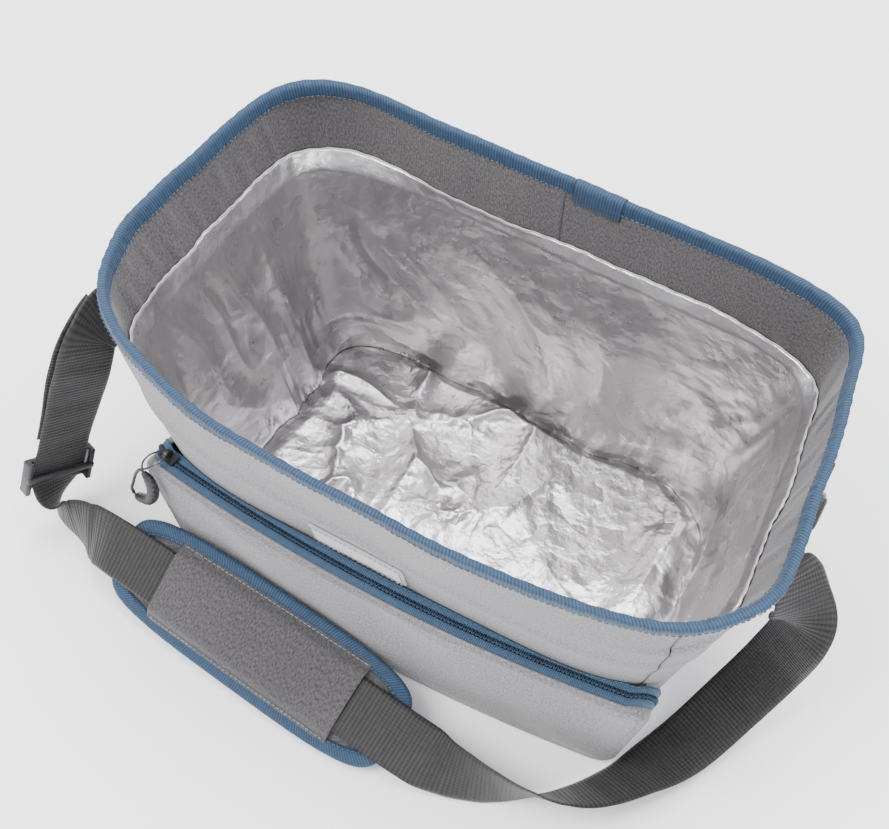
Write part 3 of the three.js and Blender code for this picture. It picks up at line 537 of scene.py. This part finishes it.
# Lining of the unpadded collar: it follows the canvas, with shallow gathers of its own, a crease
# at each back corner and a seam in the middle of the back.
def collar_inset(phi, z):
    gathers = 0.5 * np.sin(34 * phi + 0.05 * z) + 0.4 * np.sin(55 * phi - 0.08 * z + 1)
    turned = phi % (2 * math.pi)
    creases = sum(np.exp(-((turned - at - 0.0006 * (z - 215)) / 0.016) ** 2) for at in (0.52, 2.545))
    puckers = np.maximum(gathers, 0) + 1.2 * creases
    return 2.3 - fold(phi, z) + puckers * smoothstep(246, 225, z)


COLLAR_RING = np.linspace(0, 2 * math.pi, 800, endpoint=False)[:, None]
rise = np.linspace(187, 247, 40)[None, :]
shell(
    "collar", wall(COLLAR_RING, rise, collar_inset(COLLAR_RING, rise)), 0.0008, LINING, "bag",
    ["collar_lining"], wrap=True, toward=(0, 0, 10),
)
seam_z = np.linspace(190, 241, 30)
seam_phi = math.radians(90.6) + 0 * seam_z
seam = wall(seam_phi, seam_z, collar_inset(seam_phi, seam_z) + 0.75)
tube("collar_seam", [tuple(q) for q in seam], 0.0005, SEAM, "bag")

# Crumpled foil: warped lattice noise folded about its middle, so that it has soft hollows and
# sharp ridges.
def lattice_noise(u, v, cell_u, cell_v, width, seed):
    columns, rows = max(round(width / cell_u), 3), 61
    lattice = np.random.default_rng(seed).uniform(0, 1, (columns, rows))
    a, b = u / width * columns, v / cell_v + 9
    i, j = np.floor(a).astype(int), np.floor(b).astype(int)
    fa, fb = a - i, b - j
    fa, fb = fa * fa * (3 - 2 * fa), fb * fb * (3 - 2 * fb)
    low = lattice[i % columns, j % rows] * (1 - fa) + lattice[(i + 1) % columns, j % rows] * fa
    high = lattice[i % columns, (j + 1) % rows] * (1 - fa) + lattice[(i + 1) % columns, (j + 1) % rows] * fa
    return low * (1 - fb) + high * fb


CRUMPLES = ((84, 130, 1.0), (38, 60, 0.36), (18, 28, 0.12), (9, 12, 0.05))


def crumple(u, v, width, seed):
    bend_u = 60 * (lattice_noise(u, v, 75, 75, width, seed) - 0.5)
    bend_v = 60 * (lattice_noise(u, v, 75, 75, width, seed + 1) - 0.5)
    total = 0
    for k, (cell_u, cell_v, height) in enumerate(CRUMPLES):
        n = lattice_noise(u + bend_u, v + bend_v, cell_u, cell_v, width, seed + 2 + k)
        total = total + height * (1 - np.abs(2 * n - 1)) ** 1.6
    return total / 1.66


PERIMETER = 1120
FOAM_TOP = 186.3


def foil_top(phi):
    left = smoothstep(-0.1, -0.9, np.cos(phi))
    return 194 + 5 * left + 0.9 * np.sin(5 * phi + 1) + 0.6 * np.sin(13 * phi) + 0.3 * np.sin(31 * phi)


def liner_inset(phi, z):
    u = phi / (2 * math.pi) * PERIMETER + 0 * z
    raw = crumple(u, z + 0 * phi, PERIMETER, 11)
    weight = 0.08 + 0.92 * smoothstep(187, 120, z)
    folded = 7.6 + 13 * raw * weight
    rolled = 4.3 - fold(phi, z) + 0.5 * np.sin(47 * phi) ** 2
    over = np.clip((z - FOAM_TOP) / (foil_top(phi) - FOAM_TOP), 0, 1)
    return folded + (rolled - folded) * over


LINER_RING = np.linspace(0, 2 * math.pi, 600, endpoint=False)
phi = LINER_RING[:, None]
z = 11.5 + (foil_top(phi) - 11.5) * np.linspace(0, 1, 112)[None, :]
FOIL_SHEET = 0.0006
shell(
    "foil_walls", wall(phi, z, liner_inset(phi, z)), FOIL_SHEET, FOIL, "bag",
    ["liner_walls"], wrap=True, toward=(0, 0, 10),
)

# Floor: rings of points inside the outline, creased and gathered towards its back left.
r = np.linspace(0.0, 1.0, 100)[None, :] ** 0.8
edge = wall(phi, 12.0, liner_inset(phi, 12.0 + 0 * phi)[:, :1])[:, 0]
x = edge[:, None, 0] * r
y = edge[:, None, 1] * r
creases = crumple(x / MM + 170, y / MM + 100, 340, 31)
from_x, from_y = x / MM + 80, y / MM - 45
away = np.hypot(from_x, from_y)
angle = np.arctan2(from_y, from_x)
ray = np.abs(np.sin(2.5 * angle + 3 * creases + 0.8 * np.sin(away / 23)))
gather = (1 - ray) ** 2 * smoothstep(6, 40, away) * smoothstep(170, 60, away)
z = 11.6 + (10 * creases + 5 * gather) * smoothstep(1.0, 0.9, r)
shell(
    "foil_floor", np.stack([x, y, z * MM + 0 * x], -1), FOIL_SHEET, FOIL_FLOOR, "bag",
    ["liner_floor"], wrap=True, toward=(0, 0, -1),
)

# The liner's thin hem along its top edge.
def hem_ring(phi, angle):
    top = foil_top(phi)
    return wall(phi, top - 0.4 + 1.3 * np.sin(angle), liner_inset(phi, top) + 0.2 - 0.55 * np.cos(angle))


hem_angle = np.linspace(0, 2 * math.pi, 10, endpoint=False)[None, :]
sweep("foil_hem", hem_ring(LINER_RING[:, None], hem_angle), HEM, "bag", ["liner_hem"], wrap=True)

# ---- rim binding ------------------------------------------------------------------------------


def binding_ring(phi, profile):
    inset = np.array([p[0] for p in profile])[None, :]
    z = np.array([p[1] for p in profile])[None, :]
    pucker = 0.16 * np.sin(120 * phi) + 0.1 * np.sin(77 * phi)
    return wall(phi, z + 0.7 * np.sin(3 * phi + 1) - 0.7, inset - fold(phi, z) + pucker * np.sign(inset - 1))


PROFILE = [
    (-1.2, 239.2), (-1.45, 241), (-1.5, 244), (-1.45, 247.2), (-0.9, 249.3), (0.6, 250.1), (1.9, 250.1),
    (3.3, 249.3), (3.8, 247.2), (3.85, 244), (3.8, 241), (3.5, 239.2), (2.7, 239.1), (2.6, 246.8),
    (-0.2, 246.8), (-0.3, 239.1),
]
RIM = np.linspace(0, 2 * math.pi, 720, endpoint=False)
sweep("rim_tape", binding_ring(RIM[:, None], PROFILE), BLUE, "bag", ["rim_binding"], wrap=True)
LAP_PROFILE = [
    (3.9, 233.5), (4.6, 234), (5.0, 240), (4.95, 246), (4.2, 250), (2, 251), (0.2, 251), (-1.6, 249.8),
    (-2.3, 246), (-2.3, 240), (-1.9, 239), (-1.6, 240), (-1.6, 247), (-0.6, 250.2), (3.6, 250.2), (4.0, 247),
]
lap = np.radians(np.linspace(79.5, 89, 50))[:, None]
sweep("rim_tape_lap", binding_ring(lap, LAP_PROFILE), BLUE, "bag", ["rim_binding_lap"])
closed = np.append(RIM, 2 * math.pi)
for name, inset, z, sign in (("rim_stitch_inside", 4.05, 240.6, -1), ("rim_stitch_outside", -1.7, 240.6, 1)):
    row = binding_ring(closed[:, None], [(inset, z)])[:, 0]
    out = wall(closed, z, 0) - wall(closed, z, 10)
    stitches(name, row, out * sign, THREAD, "bag")

# ---- loop patch -------------------------------------------------------------------------------

PATCH_LEFT, PATCH_LOW, PATCH_WIDTH, PATCH_HEIGHT = -50, 119, 65, 28
PATCH_HEM = 2


def patch_lift(x, z):
    """How far the canvas under the patch stands proud."""
    return fold(np.arctan2(-1, (x + 2) / 190), z) * 0.9


u, v = np.linspace(0, 1, 70)[:, None], np.linspace(0, 1, 34)[None, :]
x = PATCH_LEFT + PATCH_WIDTH * u + 0 * v
z = PATCH_LOW + PATCH_HEIGHT * v + 0 * u
nap = np.random.default_rng(5).normal(0, 0.16, x.shape)
from_edge = np.minimum(np.minimum(u, 1 - u) * PATCH_WIDTH, np.minimum(v, 1 - v) * PATCH_HEIGHT)
y = front_wall_y(x, z) - 0.6 - 1.6 * (from_edge / 2).clip(0, 1) ** 0.5 + nap * 0.6 - patch_lift(x, z)
shell(
    "loop_patch", np.stack([x, y, z], -1) * MM, 0.0008, PLUSH, "bag",
    ["closure_loop_patch"], toward=(0, 0, 0.12),
)
seam_left, seam_right = PATCH_LEFT + PATCH_HEM, PATCH_LEFT + PATCH_WIDTH - PATCH_HEM
seam_low, seam_high = PATCH_LOW + PATCH_HEM, PATCH_LOW + PATCH_HEIGHT - PATCH_HEM
corners = [(seam_left, seam_low), (seam_right, seam_low), (seam_right, seam_high), (seam_left, seam_high)]
seam_points = []
for (x0, z0), (x1, z1) in zip(corners, corners[1:] + corners[:1]):
    for f in np.linspace(0, 1, 12, endpoint=False):
        x, z = x0 + (x1 - x0) * f, z0 + (z1 - z0) * f
        y = float(front_wall_y(x, z)) - 2.5 - float(patch_lift(x, z))
        seam_points.append((x * MM, y * MM, z * MM))
seam_points.append(seam_points[0])
stitches("loop_patch_stitch", seam_points, [(0, -1, 0)] * len(seam_points), GREY_THREAD, "bag")

# ---- pocket -----------------------------------------------------------------------------------

TOP, BOW, CORNER = 115, 1130, 14    # the pocket's height, the bow of its face and its corners' radius
PANEL = 2                           # thickness of the CAD's face panel


def face_y(x, z):
    return BOW - np.sqrt(BOW ** 2 - np.square(x)) - (129 + 13 * z / TOP)


def pocket_side(z):
    return 161 + 15 * z / TOP


def half_width(z):
    into = np.maximum(CORNER - np.minimum(TOP - z, z - 0.5), 0)
    return pocket_side(z) - (CORNER - np.sqrt(np.maximum(CORNER ** 2 - into ** 2, 0))) * 0.97


u = np.linspace(-1, 1, 180)[:, None]
v = (1 - np.cos(math.pi * np.linspace(0, 1, 70)))[None, :] / 2
z = 0.8 + (TOP - 0.8) * v
x = half_width(z) * u
ripple = 0.9 * np.sin(x / 21 + z / 19) + 0.7 * np.sin(x / 47 - z / 23 + 2) + 0.5 * np.sin(x / 11 + z / 37 + 1)
from_side = (1 - np.abs(u)) * 170 + 0 * z
inner = smoothstep(0, 16, np.minimum(np.minimum(TOP - z, z), from_side))
rolled = 1.7 * (1 - smoothstep(0, 2.2, np.minimum(np.minimum(TOP - z, z + 1.2), from_side)))
y = face_y(x, z) - (0.8 + ripple) * inner + rolled
shell(
    "pocket_panel", np.stack([x, y, z + 0 * x], -1) * MM, 0.0014, CANVAS, "bag",
    ["pocket_front_panel"], toward=(0, 0, 0.06),
)


def edge_line():
    """Points round the pocket's edge: x, z and the outward direction, up the left and down the right."""
    rows = []
    shoulder = TOP - CORNER
    straight = pocket_side(shoulder) - CORNER
    for z in np.linspace(CORNER, shoulder, 34, endpoint=False):
        rows.append((-pocket_side(z), z, -1, 0))
    for turn in np.linspace(0, math.pi / 2, 16):
        ox, oz = -math.cos(turn), math.sin(turn)
        rows.append((-straight + CORNER * ox, shoulder + CORNER * oz, ox, oz))
    left = list(rows)
    for x in np.linspace(-straight, straight, 122)[1:-1]:
        rows.append((x, TOP, 0, 1))
    rows.extend((-x, z, -ox, oz) for x, z, ox, oz in reversed(left))
    return np.array(rows)


EDGE = edge_line()
EX, EZ, OX, OZ = EDGE.T
AROUND = np.abs(OX)
STRIP = 1.2 + 6.8 * AROUND
ROOM = front_wall_y(EX, np.maximum(EZ, 8)) - 1.2 - face_y(EX, EZ) - PANEL
TAPE_1 = STRIP + 5.5
COIL_END = TAPE_1 + 3.3
TAPE_2 = np.minimum(COIL_END + 5.5, np.maximum(ROOM, COIL_END + 2))


def edge_at(depth, lift):
    """Points of the pocket's edge: depth behind the face and lift off the edge, in mm, per station."""
    return np.stack([EX + OX * lift, face_y(EX, EZ) + PANEL + depth, EZ + OZ * lift], -1) * MM


def edge_shell(name, start, end, lift, thickness, material, node, columns=8, swell=0.0):
    grid = np.stack([
        edge_at(start + (end - start) * f, lift + swell * math.sin(math.pi * f))
        for f in np.linspace(0, 1, columns)
    ], 1)
    return shell(name, grid, thickness * MM, material, "bag", [node], toward=(0, -0.1, 0.03))


edge_shell("pocket_edge", -0.6 + 0 * STRIP, STRIP, 0.3, 1.0, CANVAS, "pocket_edge_strip", swell=0.9)
edge_shell("zip_tape_a", STRIP + 0.1, TAPE_1, 0.1, 0.8, ZIP_TAPE, "zip_tape_front", swell=0.3)
edge_shell("zip_tape_b", COIL_END, TAPE_2, 0.1, 0.8, ZIP_TAPE, "zip_tape_wall", swell=0.3)

# Coil teeth: one small bent loop for each, alternating sides, over a thin cord.
PITCH, TOOTH_RADIUS = 0.0013, 0.00042
path_coil = edge_at((TAPE_1 + COIL_END) / 2, 0.2)
depth_axis = np.array([0, 1.0, 0])
s = np.concatenate([[0], np.cumsum(np.linalg.norm(np.diff(path_coil, axis=0), axis=1))])
vertices, faces = [], []
for count, at in enumerate(np.arange(0.0006, s[-1] - 0.0006, PITCH)):
    c = np.array([np.interp(at, s, path_coil[:, k]) for k in range(3)])
    ahead = np.array([np.interp(at + 0.001, s, path_coil[:, k]) for k in range(3)]) - c
    ahead /= np.linalg.norm(ahead)
    out = np.array([np.interp(at, s, OX), 0, np.interp(at, s, OZ)])
    out /= max(np.linalg.norm(out), 1e-9)
    lean = 0.00035 if count % 2 else -0.00035
    base = len(vertices)
    for f in np.linspace(0, math.pi, 6):
        cos_f, sin_f = math.cos(f), math.sin(f)
        middle = c + depth_axis * 0.00165 * cos_f + out * 0.0009 * sin_f + ahead * lean * cos_f
        radial = depth_axis * cos_f + out * sin_f
        for a in QUARTERS:
            vertices.append(middle + TOOTH_RADIUS * (math.cos(a) * ahead + math.sin(a) * radial))
    faces.extend(thread_faces(base, 6))
face_out(make("zip_teeth", vertices, faces, COIL, "bag", ["zip_coil"]))
tube("zip_core", edge_at((TAPE_1 + COIL_END) / 2, -0.5), 0.0008, COIL, "bag", sides=8)

# Gussets from the zip tape to the bag's rounded corners, and the strip under the pocket.
SIDE_STATIONS = 46
for name, part in (("left", slice(0, SIDE_STATIONS)), ("right", slice(len(EX) - SIDE_STATIONS, len(EX)))):
    ex, ez, ox, oz = EDGE[part].T
    reach = outline(ez)[1] - 8
    wx = np.sign(ex) * np.minimum(np.abs(ex), reach)
    start_y = face_y(ex, ez) + PANEL + TAPE_2[part]
    end_y = np.maximum(front_wall_y(wx - 3.2 * np.sign(ex), ez) + 1.5, start_y + 1)
    grid = []
    for f in np.linspace(0, 1, 10):
        sag = 1.1 * math.sin(math.pi * f)
        x, y, z = ex + (wx - ex) * f - ox * sag, start_y + (end_y - start_y) * f, ez - oz * sag
        grid.append(np.stack([x, y, z], -1) * MM)
    shell(
        f"gusset_{name}", np.stack(grid, 1), 0.001, CANVAS, "bag",
        [f"pocket_gusset_{name}"], toward=(0, -0.1, 0.03),
    )
u, v = np.linspace(-143, 143, 60)[:, None], np.linspace(0, 1, 8)[None, :]
lo_y, hi_y = face_y(u, 0) + 2.2, front_wall_y(u, 1.0 + 0 * u) - 1
shell(
    "pocket_underside", np.stack([u + 0 * v, lo_y + (hi_y - lo_y) * v, 0.9 + 0 * u + 0 * v], -1) * MM, 0.001,
    CANVAS, "bag", ["pocket_gusset_bottom"], toward=(0, -0.11, 0.05),
)

STITCH_INSET = 3.2
x, z = EX - OX * STITCH_INSET, EZ - OZ * STITCH_INSET
row = np.stack([x, face_y(x, z) - 0.55, z], -1)[EZ > 3] * MM
stitches("pocket_stitch_face", row, np.tile((0, -1, 0), (len(row), 1)), GREY_THREAD, "bag")
out = np.stack([OX, 0 * OX, OZ], -1)
stitches("zip_stitch_wall", edge_at(TAPE_2 - 1.2, 0.35), out, THREAD, "bag")

# ---- zip pull ---------------------------------------------------------------------------------

BOW_CENTRE_Y = 0.988
COIL_MIDDLE = 8.5
COIL_R = BOW - PANEL - COIL_MIDDLE
SLIDER_AT = -160
SLIDER_TURN = Matrix.Rotation(math.asin(SLIDER_AT / COIL_R), 4, "Z")
AT_SLIDER = Matrix.Translation((0, BOW_CENTRE_Y, 0)) @ SLIDER_TURN @ Matrix.Translation((0, -COIL_R * MM, 0))


def local(points):
    """Places points in mm, given from the slider's seat on the zip."""
    return np.array([tuple(AT_SLIDER @ Vector((p[0] * MM, p[1] * MM, p[2] * MM))) for p in points])


PULL_Z = 120.7
PULL_OUT = -16.0
TOP_CORD = PULL_Z - 6
LINK_LEAN = -7
CORD_RADIUS = 0.0011


def hang(points):
    """Points of the pull's plane from (across, drop), leaning over towards the bag's left."""
    return [(x + LINK_LEAN + 0.16 * drop, PULL_OUT, TOP_CORD + drop) for x, drop in points]


cord_path = spline(hang([(0, -1), (-3, -4), (-6.2, -14), (-8.4, -28), (-9.8, -38), (-8.2, -44)]), 44)
pull_cord = tube("pull_cord", local(cord_path), CORD_RADIUS, PLASTIC, "pull", ["zip_pull_cord"])
grip = spline(hang([(0.5, -3), (5, -7.5), (8.4, -17), (8.4, -28), (4.5, -38), (-3.5, -44), (-6.5, -45)]), 120)
f = np.linspace(0, 1, 120)
fat = 1.5 + 2.5 * np.sin(math.pi * np.clip(f * 1.03, 0, 1)) ** 0.6
ribs = np.where((f > 0.12) & (f < 0.86), 0.35 * np.abs(np.sin(f * math.pi * 15)), 0.2)
tube(
    "pull_grip", local(grip), (fat - 0.25 + ribs) * MM, PLASTIC, "pull",
    ["zip_pull_grip"], sides=16,
)

# ---- strap ------------------------------------------------------------------------------------

ROUTE = [
    ((-211, -14, 153.5), (0, 1, 0)),
    ((-217, -20, 147), (0, 0.9, -0.4)),
    ((-227, -42, 152), (0.05, 0.6, -0.8)),
    ((-230, -67, 163), (0.2, 0.75, -0.6)),
    ((-230, -92, 162), (0.35, 0.68, -0.65)),
    ((-233, -104, 138), (0.35, 0.6, -0.7)),
    ((-240, -113, 105), (0.28, 0.6, -0.75)),
    ((-246, -125, 72), (0.2, 0.5, -0.85)),
    ((-249, -137, 43), (0.16, 0.1, -0.98)),
    ((-244, -147, 25), (0.1, 0, -1)),
    ((-228, -151, 22.5), (0, -0.1, -0.99)),
    ((-209, -156, 33), (-0.15, -0.45, -0.88)),
    ((-190, -159.3, 39.7), (-0.07, -0.695, -0.719)),
    ((-142, -162.9, 36.1), (-0.07, -0.752, -0.659)),
    ((-94, -166.5, 32.5), (-0.07, -0.805, -0.593)),
    ((-46, -170.1, 28.9), (-0.07, -0.852, -0.524)),
    ((2, -173.7, 25.3), (-0.07, -0.893, -0.451)),
    ((50, -177.3, 21.7), (-0.07, -0.927, -0.375)),
    ((72, -178, 20), (-0.02, -0.65, -0.76)),
    ((90, -176.5, 20.3), (0, -0.4, -0.92)),
    ((107, -174, 21.5), (-0.01, -0.13, -0.99)),
    ((125, -169, 21.5), (-0.02, 0.2, -0.98)),
    ((144, -160, 19), (-0.03, 0.55, -0.83)),
    ((162, -145, 16), (-0.15, 0.74, -0.65)),
    ((180, -120, 12), (-0.45, 0.7, -0.5)),
    ((198, -85, 8), (-0.8, 0.57, -0.1)),
    ((214, -49, 24), (-0.88, 0.42, 0.15)),
    ((226, -31, 62), (-0.85, 0.38, 0.25)),
    ((231, -31, 108), (-0.8, 0.3, 0.3)),
    ((226, -27, 134), (-0.7, -0.6, 0.2)),
    ((216, -17, 149), (-0.2, -1, 0)),
    ((211, -14, 153.5), (0, -1, 0)),
]
CENTRES = np.array([c for c, _ in ROUTE], float)
WIDTHS = np.array([np.array(w) / np.linalg.norm(w) for _, w in ROUTE])
LAST = len(ROUTE) - 1


def strap_frame(position):
    t = min(max(position, 0), LAST)
    c = catmull(CENTRES, t)
    a = catmull(CENTRES, min(t + 0.01, LAST)) - catmull(CENTRES, max(t - 0.01, 0))
    a /= np.linalg.norm(a)
    w = catmull(WIDTHS, t)
    w = w - a * w.dot(a)
    w /= np.linalg.norm(w)
    return c, a, w, np.cross(a, w)


def on_strap(position, across, under):
    c, _, w, n = strap_frame(position)
    return (c + w * across + n * under) * MM


def strap_shell(name, start, end, count, offset, node, width=lambda p: 40.0):
    grid = []
    for position in np.linspace(start, end, count):
        c, _, w, n = strap_frame(position)
        half = width(position) / 2
        cup = 0.35 * math.sin(position * 5.1) + 0.25 * math.sin(position * 11.3 + 1)
        under = offset(position) - 0.8
        grid.append([
            (c + w * half * q + n * (under + cup * (1 - q * q))) * MM for q in np.linspace(-1, 1, 15)
        ])
    return shell(name, np.array(grid), 0.0016, WEBBING, "strap", [node], edge=0.7)


gather = lambda p: 40 - 18 * max(1 - min(p, LAST - p) / 1.1, 0)
strap = strap_shell("strap", 0, LAST, 620, lambda p: 0, "strap_webbing", gather)
STEP = LAST / 64
RETURN_FIRST, RETURN_LAST = 7 * STEP, 14 * STEP


def return_offset(position):
    """How far the doubled layer stands off the webbing, in mm."""
    along = (position - RETURN_FIRST) / (RETURN_LAST - RETURN_FIRST)
    return -3.2 - 4 * math.sin(math.pi * along) ** 2


double = strap_shell("strap_double", RETURN_FIRST, RETURN_LAST, 150, return_offset, "strap_return_layer")


# Ribbon loops round the rings: the strap's ends below and the sewn tabs above.
def ribbon(name, path, centre_y, width, body, node, dip=0.0):
    line = spline([(px, 0, pz) for px, pz in path], 60)
    grid = []
    for q in np.linspace(-1, 1, 9):
        drop = dip * q * q
        grid.append([((px), centre_y + q * width / 2, pz - drop) for px, _, pz in line])
    grid = np.array(grid).transpose(1, 0, 2) * MM
    return shell(name, grid, 0.0014, WEBBING, body, [node], edge=0.7)


def wall_x(sign, z):
    return float(wall(0 if sign > 0 else math.pi, z, 0)[0] / MM)


for side, sign in (("left", -1), ("right", 1)):
    ring = []
    for angle in np.linspace(0, 2 * math.pi, 64, endpoint=False):
        ring.append((sign * 0.209, (-8 + 21 * math.cos(angle)) * MM, (182 + 21 * math.sin(angle)) * MM))
    tube(
        f"ring_{side}", ring, 0.002, METAL, "strap", [f"strap_ring_{side}"],
        sides=14, wrap=True,
    )
    g = sign * 209
    ribbon(
        f"strap_loop_{side}",
        [
            (g + sign * 1.2, 150), (g + sign * 3.6, 157), (g + sign * 3.2, 162.5), (g, 165),
            (g - sign * 3.2, 162.5), (g - sign * 2.6, 156), (g + sign * 0.2, 150),
        ],
        -13.4, 22, "strap", f"strap_end_{side}",
    )
    w_low, w_high = wall_x(sign, 211), wall_x(sign, 238)
    ribbon(
        f"tab_{side}",
        [
            (w_high + sign * 1.2, 238), (w_low + sign * 1.6, 211), (g - sign * 3.0, 203), (g, 199.6),
            (g + sign * 3.6, 203), (w_low + sign * 7.4, 211), (w_high + sign * 3.2, 238),
        ],
        -8, 22, "bag", f"strap_tab_{side}", 2.0,
    )

# ---- adjuster ---------------------------------------------------------------------------------

c, a, w, n = strap_frame(7.75)
adjuster_matrix = Matrix((
    (w[0], -np.cross(n, w)[0], -n[0], c[0] * MM),
    (w[1], -np.cross(n, w)[1], -n[1], c[1] * MM),
    (w[2], -np.cross(n, w)[2], -n[2], c[2] * MM),
    (0, 0, 0, 1),
))
bm = bmesh.new()
bars = [
    (3.8, 26, 9, 23, 0, 0), (3.8, 26, 9, -23, 0, 0),
    (50, 4, 3.4, 0, 11, 2.9), (50, 4, 3.4, 0, -11, 2.9), (50, 4.4, 3.4, 0, 0, -3.9),
]
for sx, sy, sz, px, py, pz in bars:
    m = Matrix.Translation((px * MM, py * MM, pz * MM)) @ Matrix.Diagonal((sx * MM, sy * MM, sz * MM, 1))
    bmesh.ops.create_cube(bm, size=1, matrix=m)
mesh = bpy.data.meshes.new("adjuster")
bm.to_mesh(mesh)
bm.free()
mesh.transform(adjuster_matrix)
mesh.materials.append(PLASTIC)
adjuster = bpy.data.objects.new("adjuster", mesh)
bpy.context.scene.collection.objects.link(adjuster)
bevel = adjuster.modifiers.new("bevel", "BEVEL")
bevel.width = 0.0011
bevel.segments = 3
for p in mesh.polygons:
    p.use_smooth = True
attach(adjuster, "adjuster")
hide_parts("strap_adjuster")

# ---- shoulder pad -----------------------------------------------------------------------------

PAD_A, PAD_B = 12.29, 16.63
PAD_HALF, PAD_HALF_WIDTH, SQ = 104, 33, 4.5
pad_position = lambda f: PAD_A + (PAD_B - PAD_A) * (f + 1) / 2


def pad_outline(t):
    """The pad's outline at an angle: along and across, each from -1 to 1."""
    c, s = math.cos(t), math.sin(t)
    r = (abs(c) ** SQ + abs(s) ** SQ) ** (-1 / SQ)
    return c * r, s * r


# Padded body: two crowned faces that meet in a thin edge under the binding.
COUNT = 160
LEVELS = np.linspace(1, 0.04, 26)


def pad_surface(name, material, nodes):
    rings = []
    for scale in LEVELS:
        puff = (1 - scale ** 5)
        rings.append(pad_disc(scale, 5.2 - 2.9 * puff))
    for scale in LEVELS[::-1]:
        puff = (1 - scale ** 5)
        rings.append(pad_disc(scale, 5.6 + 3.8 * puff))
    return sweep(name, rings, material, "pad", nodes, caps=True)


def pad_disc(scale, under):
    rows = []
    for t in np.linspace(0, 2 * math.pi, COUNT, endpoint=False):
        along, across = pad_outline(t)
        f = 0.98 * along * scale
        ripple = 0.25 * math.sin(9 * f + 3 * math.sin(t)) + 0.15 * math.sin(23 * f)
        across *= (PAD_HALF_WIDTH - 0.8) * scale
        rows.append(on_strap(pad_position(f), across, under + ripple * (1 - scale)))
    return rows


pad = pad_surface("pad", HEATHER, ["pad_body"])

# Binding folded over the pad's edge.
BIND = [
    (-6.0, 3.1), (-2, 2.4), (1.6, 2.3), (3.2, 3.4), (3.6, 5.4), (3.2, 7.6), (1.6, 8.7), (-2, 8.7),
    (-6.0, 8.2), (-5.8, 7.6), (-1, 7.8), (1.4, 7.0), (1.6, 4.2), (-1, 3.4), (-5.8, 3.8),
]
rings = []
for t in np.linspace(0, 2 * math.pi, 260, endpoint=False):
    along, across = pad_outline(t)
    pucker = 0.12 * math.sin(70 * t)
    row = []
    for out, under in BIND:
        f = along * (1 + out / PAD_HALF)
        row.append(on_strap(pad_position(f), across * (PAD_HALF_WIDTH + out), under + pucker))
    rings.append(row)
sweep("pad_tape", rings, BLUE, "pad", ["pad_binding"], wrap=True)
path, normals = [], []
for t in np.linspace(0, 2 * math.pi, 261):
    along, across = pad_outline(t)
    f = along * (1 - 4.4 / PAD_HALF)
    path.append(on_strap(pad_position(f), across * (PAD_HALF_WIDTH - 4.4), 2.45))
    normals.append(-strap_frame(pad_position(f))[3])
stitches("pad_tape_stitch", path, normals, THREAD, "pad")

# Sleeve over the webbing, sewn down along both long sides.
grid = []
for f in np.linspace(-0.7, 0.7, 120):
    row = []
    for q in np.linspace(-1, 1, 33):
        across = 29.5 * q
        drop = float(smoothstep(20.5, 28.5, abs(across)))
        waves = 0.8 + 0.3 * math.sin(31 * f + 4 * q) + 0.2 * math.sin(57 * f - 3 * q)
        crown = waves * (1 - q * q)
        row.append(on_strap(pad_position(f), across, -2.2 - crown + (4.7 + crown) * drop))
    grid.append(row)
cover = shell("pad_cover", np.array(grid), 0.0008, HEATHER, "pad", ["pad_sleeve"])
for k, across in enumerate((-27.6, 27.6)):
    fs = np.linspace(-0.69, 0.69, 90)
    row = [on_strap(pad_position(f), across, 1.6) for f in fs]
    outward = [-strap_frame(pad_position(f))[3] for f in fs]
    stitches(f"pad_cover_stitch_{k}", row, outward, GREY_THREAD, "pad")

# ---- finishes of the CAD pieces that stay -------------------------------------------------------

FINISHES = {
    "foam_front": FOAM, "foam_back": FOAM, "foam_left": FOAM, "foam_right": FOAM, "foam_base": FOAM,
    "base_panel": CANVAS, "base_board": BOARD, "zip_stop_left": METAL, "zip_stop_right": METAL,
    "zip_slider": PLASTIC, "zip_slider_bridge": PLASTIC, "zip_pull_link": METAL,
}
for node, material in FINISHES.items():
    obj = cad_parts[node]
    obj.data.materials.clear()
    obj.data.materials.append(material)

# ---- floor --------------------------------------------------------------------------------------

mesh = bpy.data.meshes.new("floor")
mesh.from_pydata([(-4, -4, -0.0002), (4, -4, -0.0002), (4, 4, -0.0002), (-4, 4, -0.0002)], [], [(0, 1, 2, 3)])
floor_nodes = Nodes("floor_paper", 0.9)
floor_tones = [(0.3, (0.955, 0.955, 0.96)), (0.7, (0.965, 0.965, 0.97))]
floor_nodes.colour(floor_nodes.ramp(floor_nodes.noise(3, 2), floor_tones))
mesh.materials.append(floor_nodes.material)
floor = bpy.data.objects.new("floor", mesh)
bpy.context.scene.collection.objects.link(floor)
